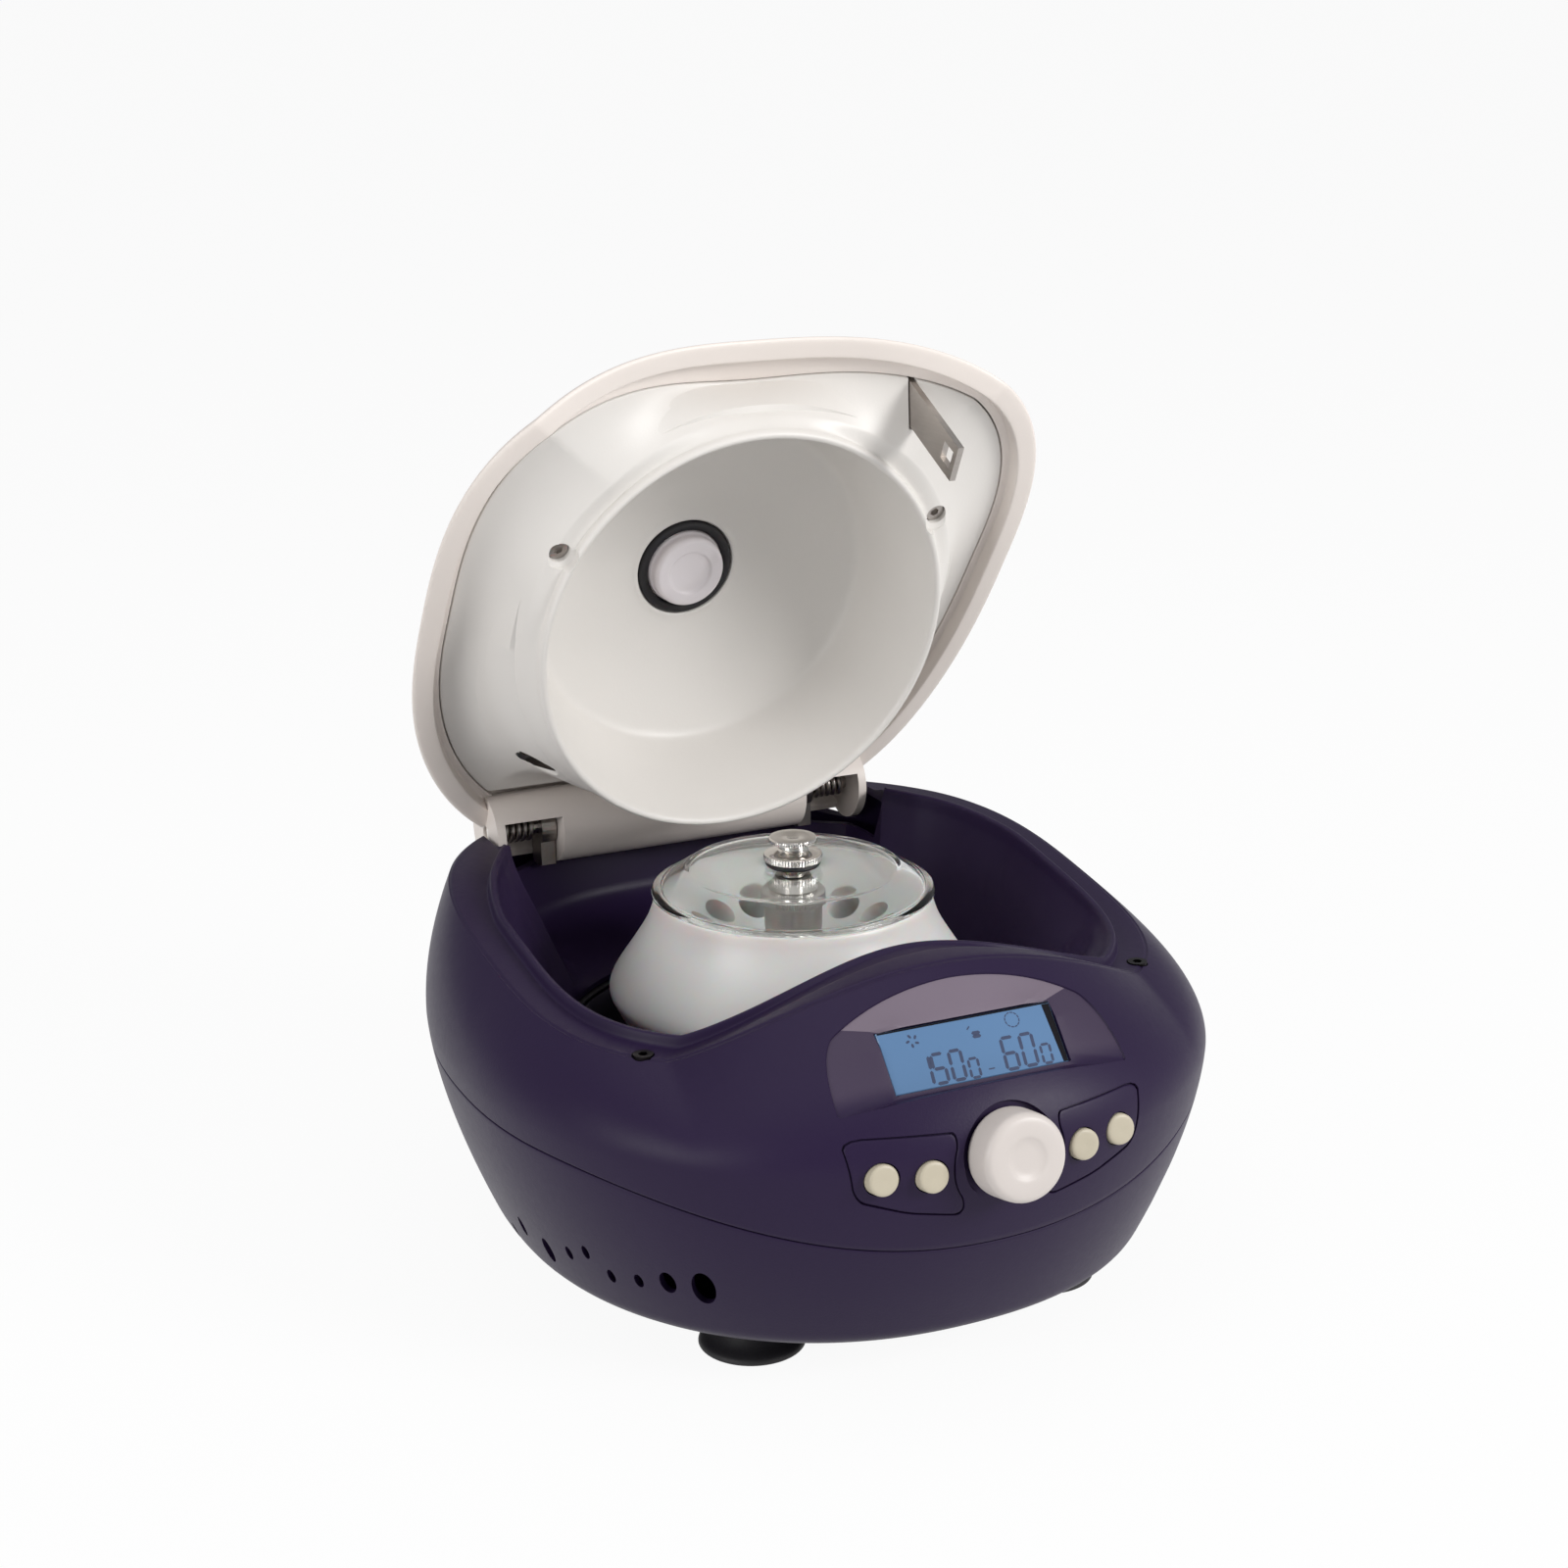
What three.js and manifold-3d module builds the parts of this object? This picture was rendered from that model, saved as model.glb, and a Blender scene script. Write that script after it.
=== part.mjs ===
import * as THREE from 'three'
import { mergeVertices, mergeGeometries } from 'three/addons/utils/BufferGeometryUtils.js'
import Module from 'manifold-3d'

const wasm = await Module()
wasm.setup()

// High-speed bench centrifuge, in millimetres. The origin is on the bench under the middle of the
// outline, +Z is up, and the control panel faces -Y. The lid is drawn closed and then swung open.

// Driving dimensions of the housing, an egg-shaped belly that narrows to the rim of the lid opening
const bellyHalfWidth = 117.7
const bellyFrontReach = 125.6
const bellyRearReach = 138
const bellyCentreY = -14.2
const bellyHeight = 77
const wall = 2.8
const clearance = 0.3
const runningGap = 0.1
const overrun = 40

// Rim of the lid opening: high behind, low beside the panel, and an arch over the display
const rimHalfWidth = 102.6
const rimFrontReach = 97
const rimRearReach = 116
const rimMidHeight = 106.3
const rimSwing = 7.4
const rimSwingRun = 78
const rimSwingStart = -5
const archRise = 22.7
const archHalfWidth = 78
const archLipWidth = 7.6
const archStep = 2.8

// Driving dimensions of the lid, its hinge and its bowl
const hingeY = 96.5
const hingeZ = 113.6
const lidOpenAngle = 63.4
const bowlTilt = 11.1
const bowlCentreY = 2.5
const bowlRimHeight = 89.3
const bowlDepth = 50.3
const domeTopHeight = 152.5
const domeTopY = -12

// Driving dimensions of the rotor and its drive
const rotorRimRadius = 44
const rotorRimHeight = 113.8
const rotorMaxRadius = 59.3
const coverDiscRadius = 32.8
const coverDiscHeight = 120.9
const nutTopHeight = 130.6
const shaftRadius = 4

const ringSteps = 40

const degrees = THREE.MathUtils.degToRad
const lerp = THREE.MathUtils.lerp
const clamp = THREE.MathUtils.clamp

// The rotor axis stands a little in front of the middle of the whole outline
const rotorAxisY = 13.46
const part = new THREE.Group()
const machine = new THREE.Group()
machine.position.y = rotorAxisY
part.add(machine)

// Finishes
const finish = (color, roughness, metalness = 0, opacity = 1) => new THREE.MeshStandardMaterial({
  color, roughness, metalness, opacity, transparent: opacity < 1, flatShading: true,
})
const purplePlastic = finish(0x382a4e, 0.55)
const ivoryPlastic = finish(0xdad0c8, 0.6)
const linerPlastic = finish(0xd9d6d1, 0.5)
const rotorPlastic = finish(0xcdcfce, 0.4)
const clearPlastic = finish(0xe8eeee, 0.1, 0, 0.35)
const blackPlastic = finish(0x18171a, 0.6)
const blackRubber = finish(0x151416, 0.85)
const polishedSteel = finish(0xc9c7c4, 0.22, 1)
const satinSteel = finish(0xa9a5a1, 0.4, 1)
const bowlAlloy = finish(0x3a3740, 0.5, 0.6)
const creamPlastic = finish(0xded8c4, 0.5)
const knobPlastic = finish(0xe8e2de, 0.5)
const displayGlass = finish(0x6c9ecd, 0.25)
const boardGreen = finish(0x1f5a3a, 0.7)

// Geometry helpers: rings of points become closed skins, and solids are cut and joined
const ring = place => Array.from({ length: ringSteps }, (_, i) => place(2 * Math.PI * i / ringSteps))

const skinVolume = (points, faces) => {
  let sum = 0
  for (let i = 0; i < faces.length; i += 3) {
    const [a, b, c] = [points[faces[i]], points[faces[i + 1]], points[faces[i + 2]]]
    sum += a.dot(new THREE.Vector3().crossVectors(b, c))
  }
  return sum
}

// A skin through rings of points. A looped skin is a shell round a hole, the others get end faces.
const loft = (rings, looped = false) => {
  const points = rings.flat()
  const count = rings[0].length
  const faces = []
  const bands = looped ? rings.length : rings.length - 1
  for (let i = 0; i < bands; i++) {
    const low = i * count
    const high = ((i + 1) % rings.length) * count
    for (let j = 0; j < count; j++) {
      const k = (j + 1) % count
      faces.push(low + j, low + k, high + k, low + j, high + k, high + j)
    }
  }
  if (!looped) {
    for (const [start, flip] of [[0, true], [(rings.length - 1) * count, false]]) {
      const end = points.slice(start, start + count)
      const middle = end.reduce((sum, p) => sum.add(p), new THREE.Vector3()).divideScalar(count)
      points.push(middle)
      for (let j = 0; j < count; j++) {
        const k = (j + 1) % count
        faces.push(points.length - 1, start + (flip ? k : j), start + (flip ? j : k))
      }
    }
  }
  if (skinVolume(points, faces) < 0) faces.reverse()
  const geometry = new THREE.BufferGeometry().setFromPoints(points)
  geometry.setIndex(faces)
  return geometry
}

const solid = geometry => {
  const bare = geometry.clone()
  bare.deleteAttribute('normal')
  bare.deleteAttribute('uv')
  const merged = mergeVertices(bare, 1e-4)
  return new wasm.Manifold(new wasm.Mesh({
    numProp: 3,
    vertProperties: new Float32Array(merged.attributes.position.array),
    triVerts: new Uint32Array(merged.index.array),
  }))
}

const skin = body => {
  const mesh = body.getMesh()
  const geometry = new THREE.BufferGeometry()
  geometry.setAttribute('position', new THREE.BufferAttribute(mesh.vertProperties, 3))
  geometry.setIndex(new THREE.BufferAttribute(mesh.triVerts, 1))
  const facets = geometry.toNonIndexed()
  facets.computeVertexNormals()
  return facets
}

const turned = (profile, steps = 48) => {
  const geometry = new THREE.LatheGeometry(profile.map(([r, z]) => new THREE.Vector2(r, z)), steps)
  return geometry.rotateX(Math.PI / 2)
}

const moved = (geometry, matrix) => geometry.clone().applyMatrix4(matrix)
const at = (x, y, z) => new THREE.Matrix4().makeTranslation(x, y, z)
const pitched = (y, z, angle) => at(0, y, z).multiply(new THREE.Matrix4().makeRotationX(angle))
const block = (x0, x1, y0, y1, z0, z1) => new THREE.BoxGeometry(x1 - x0, y1 - y0, z1 - z0)
  .translate((x0 + x1) / 2, (y0 + y1) / 2, (z0 + z1) / 2)
const rod = (radius, z0, z1, steps = 32) => new THREE.CylinderGeometry(radius, radius, z1 - z0, steps)
  .rotateX(Math.PI / 2).translate(0, 0, (z0 + z1) / 2)
const tubeAlongX = (outer, inner, x0, x1, steps = 32) => turned(
  inner > 0
    ? [[inner, x0], [outer, x0], [outer, x1], [inner, x1], [inner, x0]]
    : [[0, x0], [outer, x0], [outer, x1], [0, x1]], steps).rotateY(Math.PI / 2)
const prism = (outline, z0, z1) => new THREE.ExtrudeGeometry(outline, {
  depth: z1 - z0, bevelEnabled: false, curveSegments: 4,
}).translate(0, 0, z0)

const piece = (name, shape, material, parent = machine) => {
  const mesh = new THREE.Mesh(shape.isBufferGeometry ? shape : skin(shape), material)
  mesh.name = name
  parent.add(mesh)
  return mesh
}

// Housing surface: a super-ellipse plan at the belly and at the rim, joined by curved walls
const planPower = { bellyFront: 2.18, bellyRear: 2.21, rimFront: 3, rimRear: 2.5 }
const shoulderPower = 2
const flankPower = 1.56
const baseShare = 0.875
const baseHeight = 22
const footingHeight = 11
const footingEdgeHeight = 14
const footingShare = 0.71
const footingEdgeShare = 0.815

const plan = (angle, halfWidth, front, rear, frontPower, rearPower, centreY) => {
  const c = Math.cos(angle)
  const s = Math.sin(angle)
  const power = 2 / (s < 0 ? frontPower : rearPower)
  return new THREE.Vector2(
    halfWidth * Math.sign(c) * Math.abs(c) ** power,
    centreY + (s < 0 ? front : rear) * Math.sign(s) * Math.abs(s) ** power)
}
const bellyPlan = angle => plan(angle, bellyHalfWidth, bellyFrontReach, bellyRearReach,
  planPower.bellyFront, planPower.bellyRear, bellyCentreY)
const rimPlan = angle => plan(angle, rimHalfWidth, rimFrontReach, rimRearReach,
  planPower.rimFront, planPower.rimRear, 0)
const archShare = (x, y) => (y < 0 ? Math.max(0, 1 - (x / archHalfWidth) ** 2) ** 1.1 : 0)
const rimHeight = (x, y) => rimMidHeight
  + rimSwing * Math.sin(clamp((y - rimSwingStart) / rimSwingRun, -1, 1) * Math.PI / 2)
  + archRise * archShare(x, y)

const towardAxis = (p, inset) => p.clone().multiplyScalar(1 - inset / p.length())

// One ring of the housing skin at a height below the belly, or at a share of the way up to the rim
const flankRing = (height, inset, share) => ring(angle => {
  const belly = bellyPlan(angle)
  const z = typeof height === 'function' ? height(belly) : height
  const drop = clamp((bellyHeight - z) / (bellyHeight - baseHeight), 0, 1)
  const grow = share ?? 1 - (1 - baseShare) * drop ** flankPower
  const centre = new THREE.Vector2(0, bellyCentreY)
  const p = towardAxis(belly.sub(centre).multiplyScalar(grow).add(centre), inset)
  return new THREE.Vector3(p.x, p.y, z)
})
const shoulderRing = (share, inset, drop = 0) => ring(angle => {
  const belly = bellyPlan(angle)
  const rim = rimPlan(angle)
  const p = towardAxis(belly.clone().lerp(rim, share ** shoulderPower), inset)
  return new THREE.Vector3(p.x, p.y, lerp(bellyHeight, rimHeight(rim.x, rim.y), share) - drop)
})
const rimRing = (inset, rise) => ring(angle => {
  const rim = rimPlan(angle)
  const p = towardAxis(rim, typeof inset === 'function' ? inset(rim) : inset)
  return new THREE.Vector3(p.x, p.y, rimHeight(rim.x, rim.y) + (typeof rise === 'function' ? rise(rim) : rise))
})

// Seam between the base shell and the upper housing, which dips under the control panel
const seamSideHeight = 70
const seamDip = 18
const seamDipStart = -60
const seamDipRun = 76
const seamHeight = p => seamSideHeight
  - seamDip * Math.max(0, (seamDipStart - p.y) / seamDipRun) ** 2.2
const shoulderShares = [0, 0.25, 0.5, 0.75, 0.92]

const fullSkin = inset => solid(loft([
  flankRing(footingHeight, inset, footingShare),
  flankRing(footingEdgeHeight, inset, footingEdgeShare),
  flankRing(baseHeight, inset),
  flankRing(seamHeight, inset),
  ...shoulderShares.map(share => shoulderRing(share, inset)),
  shoulderRing(1, inset, inset),
]))

// Base shell: a tub with a rounded lower edge, cooling vents on both sides and a rear power panel
const ventWidths = [3.2, 3.6, 5, 3, 3, 3, 3.2, 5.4, 7.4]
const ventHeights = [7.5, 7, 9, 5, 5, 5, 5, 8, 12]
const ventPlaces = [
  [-13, 20], [-30, 30], [-46, 28], [-60, 33], [-69, 37], [-77, 31], [-87, 33], [-96, 35.5], [-105, 36],
]
const ventPlan = 0.97

const baseFloor = footingHeight + wall
let baseShell = solid(loft([
  flankRing(footingHeight, 0, footingShare),
  flankRing(footingEdgeHeight, 0, footingEdgeShare),
  flankRing(baseHeight, 0),
  flankRing(lerp(baseHeight, seamSideHeight - seamDip, 0.6), 0),
  flankRing(p => seamHeight(p) - clearance, 0),
  flankRing(p => seamHeight(p) - clearance, wall),
  flankRing(lerp(baseHeight, seamSideHeight - seamDip, 0.6), wall),
  flankRing(baseHeight, wall),
  flankRing(baseFloor, wall, footingEdgeShare),
]))

const ventTool = (x, y, z, width, height) => {
  const outward = new THREE.Vector3(x, y - bellyCentreY, 0).normalize()
  const hole = new THREE.CylinderGeometry(width / 2, width / 2, overrun, 8)
    .rotateZ(Math.PI / 2).scale(1, height / width, 1)
  const turn = new THREE.Matrix4().makeRotationZ(Math.atan2(outward.y, outward.x))
  return moved(hole, at(x, y, z).multiply(turn))
}
const sideAt = (y, sideSign) => {
  const reach = y < bellyCentreY ? bellyFrontReach : bellyRearReach
  const power = y < bellyCentreY ? planPower.bellyFront : planPower.bellyRear
  const share = Math.abs((y - bellyCentreY) / (reach * ventPlan))
  return sideSign * bellyHalfWidth * ventPlan * (1 - share ** power) ** (1 / power)
}
for (const sideSign of [-1, 1]) {
  ventPlaces.forEach(([y, z], i) => {
    baseShell = baseShell.subtract(solid(ventTool(sideAt(y, sideSign), y, z, ventWidths[i], ventHeights[i])))
  })
}

// Rear power panel: a mains inlet and a rocker switch let into the base shell
const inletHalfWidth = 13.8
const inletHalfHeight = 10.2
const inletX = -22
const switchX = 20
const switchHalfWidth = 7
const switchHalfHeight = 10.2
const powerPanelHeight = 44
const powerPanelY = 117.5
const powerPanelDepth = 24
for (const [x, halfWidth, halfHeight] of [
  [inletX, inletHalfWidth, inletHalfHeight], [switchX, switchHalfWidth, switchHalfHeight],
]) {
  baseShell = baseShell.subtract(solid(block(
    x - halfWidth - clearance, x + halfWidth + clearance, powerPanelY - powerPanelDepth, powerPanelY + overrun,
    powerPanelHeight - halfHeight - clearance, powerPanelHeight + halfHeight + clearance)))
}
piece('lower_shell', baseShell, purplePlastic)

// Feet: rubber cups with a flared lip, held to the underside
const footX = 50.5
const footFrontY = -75
const footRearY = 58
const footRadius = 16.3
const footNeckRadius = 10
const footLip = 2.4
const footWaistHeight = 6.4
const footTop = footingHeight - clearance
const footProfile = [
  [0, 0.9], [11.4, 0.9], [12.8, 0], [footRadius - 1, 0], [footRadius, 0.7], [footRadius - 0.6, footLip],
  [12.4, 4.4], [footNeckRadius, footWaistHeight], [footNeckRadius, footTop], [0, footTop],
]
const footPlaces = [[-1, footFrontY], [1, footFrontY], [-1, footRearY], [1, footRearY]]
footPlaces.forEach(([sx, y], i) => {
  const foot = piece(`foot_${i + 1}`, turned(footProfile, 16), blackRubber)
  foot.position.set(sx * footX, y, 0)
})

// Upper housing: outer wall, shelf for the lid edge, raised ridge and the recess down to the chamber
const shelfWidth = 9
const shoulderShelfWidth = 14.4
const rearShelfWidth = 3
const ridgeWidth = 3
const ridgeRise = 3.4
const ridgeTop = 0.9
const mouthRadius = 74
const mouthHeight = 70

// The shelf is broad beside the hinge and narrow behind it, all as shares of the way back
const stretch = (y, start, run) => clamp((y - start) / run, 0, 1)
const shoulderStart = 20
const shoulderRun = 50
const backStart = 84
const backRun = 12
const frontShelfWidth = 19
const shelfInset = p => lerp(
  lerp(shelfWidth, shoulderShelfWidth, stretch(p.y, shoulderStart, shoulderRun)), rearShelfWidth,
  stretch(p.y, backStart, backRun)) + (frontShelfWidth - shelfWidth) * archShare(p.x, p.y)
const ridgeHeight = p => lerp(ridgeRise, ridgeTop, Math.max(archShare(p.x, p.y), stretch(p.y, backStart, backRun)))
  - archStep * archShare(p.x, p.y)

// Recess wall below the ridge: share of the drop to the chamber mouth against share of the way in,
// for the sides, the front and the back
const recessShares = [0.12, 0.42, 0.75, 1]
const recessSide = [0.03, 0.34, 0.7, 1]
const recessFront = [0.3, 0.62, 0.86, 1]
const recessBack = [0.02, 0.08, 0.16, 1]
const frontStart = 40
const frontRun = 40
const recessRing = (step, inset, drop) => ring(angle => {
  const rim = rimPlan(angle)
  const crest = towardAxis(rim, shelfInset(rim) + ridgeWidth)
  const mouth = new THREE.Vector2(Math.cos(angle), Math.sin(angle)).multiplyScalar(mouthRadius)
  const pull = lerp(
    lerp(recessSide[step], recessFront[step], stretch(-rim.y, frontStart, frontRun)), recessBack[step],
    stretch(rim.y, backStart, backRun))
  const p = crest.lerp(mouth, pull)
  p.multiplyScalar(1 + inset / p.length())
  const z = lerp(rimHeight(rim.x, rim.y) + ridgeHeight(rim), mouthHeight, recessShares[step])
  return new THREE.Vector3(p.x, p.y, z - drop)
})

const ridgeEdge = 0.8
let upperHousing = solid(loft([
  flankRing(p => seamHeight(p), 0),
  ...shoulderShares.map(share => shoulderRing(share, 0)),
  rimRing(0.5, -0.5),
  rimRing(1.4, 0),
  rimRing(p => 1.8 + archLipWidth * archShare(p.x, p.y), 0),
  rimRing(p => 2.2 + archLipWidth * archShare(p.x, p.y), p => -archStep * archShare(p.x, p.y)),
  rimRing(p => shelfInset(p), p => -archStep * archShare(p.x, p.y)),
  rimRing(p => shelfInset(p) + ridgeEdge, p => ridgeHeight(p)),
  rimRing(p => shelfInset(p) + ridgeWidth - ridgeEdge, p => ridgeHeight(p)),
  recessRing(0, 0, 0),
  recessRing(1, 0, 0),
  recessRing(2, 0, 0),
  recessRing(3, 0, 0),
  recessRing(3, 0, wall),
  recessRing(3, wall, wall),
  recessRing(2, wall, wall / 2),
  recessRing(1, wall, wall / 2),
  rimRing(p => shelfInset(p) + ridgeWidth - ridgeEdge, -wall),
  rimRing(wall * 1.2, -wall * 1.2),
  shoulderRing(0.75, wall, 0.8),
  shoulderRing(0.5, wall),
  shoulderRing(0.25, wall),
  shoulderRing(0, wall),
  flankRing(p => seamHeight(p), wall),
], true))

// Display pocket: an arched recess in the front with a bottom ledge, its back follows the shoulder
const displaySlope = 47.9
const displayY = -123.4
const displayZ = 95.4
const displayFrame = pitched(displayY, displayZ, degrees(displaySlope))
const pocketHalfWidth = 46
const pocketTop = 31
const pocketShoulder = 20.5
const pocketBottom = -3.4
const pocketDepth = 2.4
const windowHalfWidth = 27.8
const windowHeight = 18.6
const arched = (halfWidth, bottom, shoulder, top) => {
  const shape = new THREE.Shape()
  shape.moveTo(-halfWidth, bottom)
  shape.lineTo(halfWidth, bottom)
  shape.quadraticCurveTo(halfWidth * 0.99, shoulder * 0.7, halfWidth * 0.86, shoulder)
  shape.quadraticCurveTo(halfWidth * 0.5, top * 0.985, 0, top)
  shape.quadraticCurveTo(-halfWidth * 0.5, top * 0.985, -halfWidth * 0.86, shoulder)
  shape.quadraticCurveTo(-halfWidth * 0.99, shoulder * 0.7, -halfWidth, bottom)
  return shape
}
const rectangle = (x0, x1, y0, y1) => new THREE.Shape([[x0, y0], [x1, y0], [x1, y1], [x0, y1]]
  .map(([x, y]) => new THREE.Vector2(x, y)))
const seatMargin = 2.6
const bezelBack = -5
const windowThickness = 1.6
const displayPrism = (outline, z0, z1) => solid(moved(prism(outline, z0, z1), displayFrame))
const pocketOutline = arched(pocketHalfWidth, pocketBottom, pocketShoulder, pocketTop)
const seatOutline = rectangle(
  -windowHalfWidth - seatMargin, windowHalfWidth + seatMargin, -seatMargin, windowHeight + seatMargin)
const windowOutline = grow => rectangle(
  -windowHalfWidth - grow, windowHalfWidth + grow, -grow, windowHeight + grow)
const buried = 1
const bezel = displayPrism(pocketOutline, bezelBack, overrun).intersect(fullSkin(buried))
upperHousing = upperHousing.add(bezel)
  .subtract(displayPrism(pocketOutline, bezelBack, overrun).subtract(fullSkin(pocketDepth)))
  .subtract(displayPrism(seatOutline, 0, overrun))
  .subtract(displayPrism(windowOutline(clearance), bezelBack - overrun / 2, overrun))

// Control panel: knob well, two inlaid button plates and four button holes on the sloping front
const panelTilt = 12
const panelY = -139.5
const panelZ = 77
const panelFrame = pitched(panelY, panelZ, degrees(90 - panelTilt))
const knobRadius = 13
const knobWellRadius = 14.6
const knobHeight = 9.6
const knobW = 1.8
const buttonRadius = 4.6
const buttonXs = [-37.9, -24.1, 24.1, 37.9]
const buttonWs = [0.6, -0.6, -0.6, 0.6]
const inlayDepth = 1.1
const inlaySink = 0.15
const inlayGap = 0.35
const inlayOutline = (side, grow) => {
  const shape = new THREE.Shape()
  const x = v => side * v
  shape.moveTo(x(47.5 + grow), 12.4 + grow)
  shape.lineTo(x(18 - grow), 10.4 + grow)
  shape.quadraticCurveTo(x(16 - grow), 10.2 + grow, x(16.6 - grow), 6)
  shape.quadraticCurveTo(x(19.5 - grow), -2, x(14.6 - grow), -9)
  shape.quadraticCurveTo(x(12.6 - grow), -14.2 - grow, x(17 - grow), -13.6 - grow)
  shape.lineTo(x(30), -10.8 - grow)
  shape.lineTo(x(42 + grow), -6 - grow)
  shape.quadraticCurveTo(x(44.5 + grow), -4.6, x(45.4 + grow), -1)
  shape.lineTo(x(47.5 + grow), 12.4 + grow)
  return shape
}
const frontPrism = outline => solid(moved(prism(outline, -overrun / 2, overrun / 2), panelFrame))
const inlaySides = { left: -1, right: 1 }
const panelBack = -6
const panelHalfWidth = 48
const panelBottom = -14
const panelTop = 13
upperHousing = upperHousing.add(solid(moved(prism(
  rectangle(-panelHalfWidth, panelHalfWidth, panelBottom, panelTop), panelBack, overrun), panelFrame))
  .intersect(fullSkin(buried)))
for (const side of Object.values(inlaySides)) {
  upperHousing = upperHousing.subtract(frontPrism(inlayOutline(side, inlayGap)).subtract(fullSkin(inlayDepth)))
}
const panelRod = (radius, x, w, z0, z1, steps = 28) => solid(moved(
  rod(radius, z0, z1, steps).translate(x, w, 0), panelFrame))
const knobWellDepth = 2.6
upperHousing = upperHousing
  .subtract(panelRod(knobWellRadius, 0, knobW, -knobWellDepth, overrun, 40))
  .subtract(panelRod(shaftRadius, 0, knobW, -overrun / 2, overrun))
buttonXs.forEach((x, i) => {
  upperHousing = upperHousing.subtract(panelRod(buttonRadius + inlayGap, x, buttonWs[i], -overrun / 2, overrun))
})

// Latch slot beside the arch, where the striker plate of the lid comes down
const strikerX = 51
const strikerY = -68
const strikerThickness = 2
const strikerWidth = 12
const strikerLength = 37.5
const slotGap = 1.4
const slotRun = 4.2
const slotFloor = 74
upperHousing = upperHousing.subtract(solid(block(
  strikerX - strikerThickness / 2 - slotGap, strikerX + strikerThickness / 2 + slotGap,
  strikerY - strikerWidth / 2 - slotRun, strikerY + strikerWidth / 2 + slotRun,
  slotFloor, slotFloor + overrun * 1.5)))

// Hinge pocket: room behind the chamber for the rear edge of the lid to turn in
const barrelRadius = 12.9
const pocketRadius = 14
const lidRearHalfWidth = 69
const pocketHalf = lidRearHalfWidth + 1.7
const pocketFrontY = 71
const pocketWallY = 106
const pocketFloorZ = 95
const pocketFootZ = hingeZ - 14
const alongX = (radius, halfLength, steps = 40) => solid(moved(
  tubeAlongX(radius, 0, -halfLength, halfLength, steps), at(0, hingeY, hingeZ)))
const pocketBase = hingeZ - pocketRadius
upperHousing = upperHousing
  .add(solid(block(-pocketHalf - wall, pocketHalf + wall, pocketWallY, pocketWallY + overrun,
    pocketFloorZ, hingeZ)).intersect(fullSkin(buried)))
  .subtract(alongX(pocketRadius, pocketHalf))
  .subtract(solid(block(-pocketHalf, pocketHalf, pocketFrontY, hingeY, pocketBase, pocketBase + overrun)))

// Rim screws beside the panel
const socketRadius = 1.5
const socketDepth = 1.2
const rimScrewX = 82.4
const rimScrewY = -73.4
const rimScrewRadius = 3
const rimScrewZ = 99.3
const rimScrewDepth = 2.6
upperHousing = [-1, 1].reduce((housing, side) => housing.subtract(solid(moved(
  rod(rimScrewRadius + clearance, rimScrewZ - rimScrewDepth, rimScrewZ + overrun, 20),
  at(side * rimScrewX, rimScrewY, 0)))), upperHousing)
piece('upper_housing', upperHousing, purplePlastic)

for (const [name, side] of [['rim_screw_left', -1], ['rim_screw_right', 1]]) {
  const head = solid(rod(rimScrewRadius, rimScrewZ - rimScrewDepth + clearance, rimScrewZ, 20))
    .subtract(solid(rod(socketRadius, rimScrewZ - socketDepth, rimScrewZ + overrun, 6)))
  piece(name, head, satinSteel).position.set(side * rimScrewX, rimScrewY, 0)
}

// Display: a window flush in its seat and the board behind it
const displayBoardDepth = 1.6
const windowPlate = solid(prism(windowOutline(0), bezelBack, windowThickness + bezelBack))
const inFrame = (shape, frame) => moved(skin(shape), frame)
piece('display_window', inFrame(windowPlate.translate(0, 0, -windowThickness - bezelBack - clearance), displayFrame),
  displayGlass)
piece('display_board', moved(prism(rectangle(
  -windowHalfWidth - seatMargin, windowHalfWidth + seatMargin, -seatMargin, windowHeight + seatMargin),
bezelBack - clearance - displayBoardDepth, bezelBack - clearance), displayFrame), boardGreen)

// Control panel: inlaid plates, sprung buttons, encoder and knob
const panelSkin = (outline, depth0, depth1) => frontPrism(outline)
  .intersect(fullSkin(depth0)).subtract(fullSkin(depth1))
for (const [name, side] of Object.entries(inlaySides)) {
  let plate = panelSkin(inlayOutline(side, 0), inlaySink, inlayDepth - clearance)
  buttonXs.forEach((x, i) => {
    plate = plate.subtract(panelRod(buttonRadius + inlayGap, x, buttonWs[i], -overrun / 2, overrun))
  })
  piece(`${name}_button_plate`, plate, purplePlastic)
}
const buttonProud = 1.5
const buttonLifts = [-4.6, -1.5, -1.5, -4.6]
const buttonBack = -7
const buttonProfile = [
  [0, buttonBack], [1.8, buttonBack], [1.8, -4.4], [buttonRadius, -4.4], [buttonRadius, buttonProud - 0.5],
  [buttonRadius - 0.6, buttonProud], [0, buttonProud - 0.3],
]
const buttonNames = ['button_select', 'button_pulse', 'button_door', 'button_run']
buttonNames.forEach((name, i) => {
  const frame = panelFrame.clone().multiply(at(buttonXs[i], buttonWs[i], buttonLifts[i]))
  piece(name, moved(turned(buttonProfile, 14), frame), creamPlastic)
})
const panelBoardTop = -13.2
const panelBoardThickness = 1.6
const panelBoard = solid(moved(prism(rectangle(-panelHalfWidth + 6, panelHalfWidth - 6, -7, 9),
  panelBoardTop - panelBoardThickness, panelBoardTop), panelFrame))
piece('panel_board', panelBoard, boardGreen)

const encoderHalf = 6.5
const encoderBack = panelBoardTop + clearance
const encoderFront = panelBack - clearance
piece('knob_encoder', moved(block(-encoderHalf, encoderHalf, knobW - encoderHalf, knobW + encoderHalf,
  encoderBack, encoderFront), panelFrame), blackPlastic)

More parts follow.
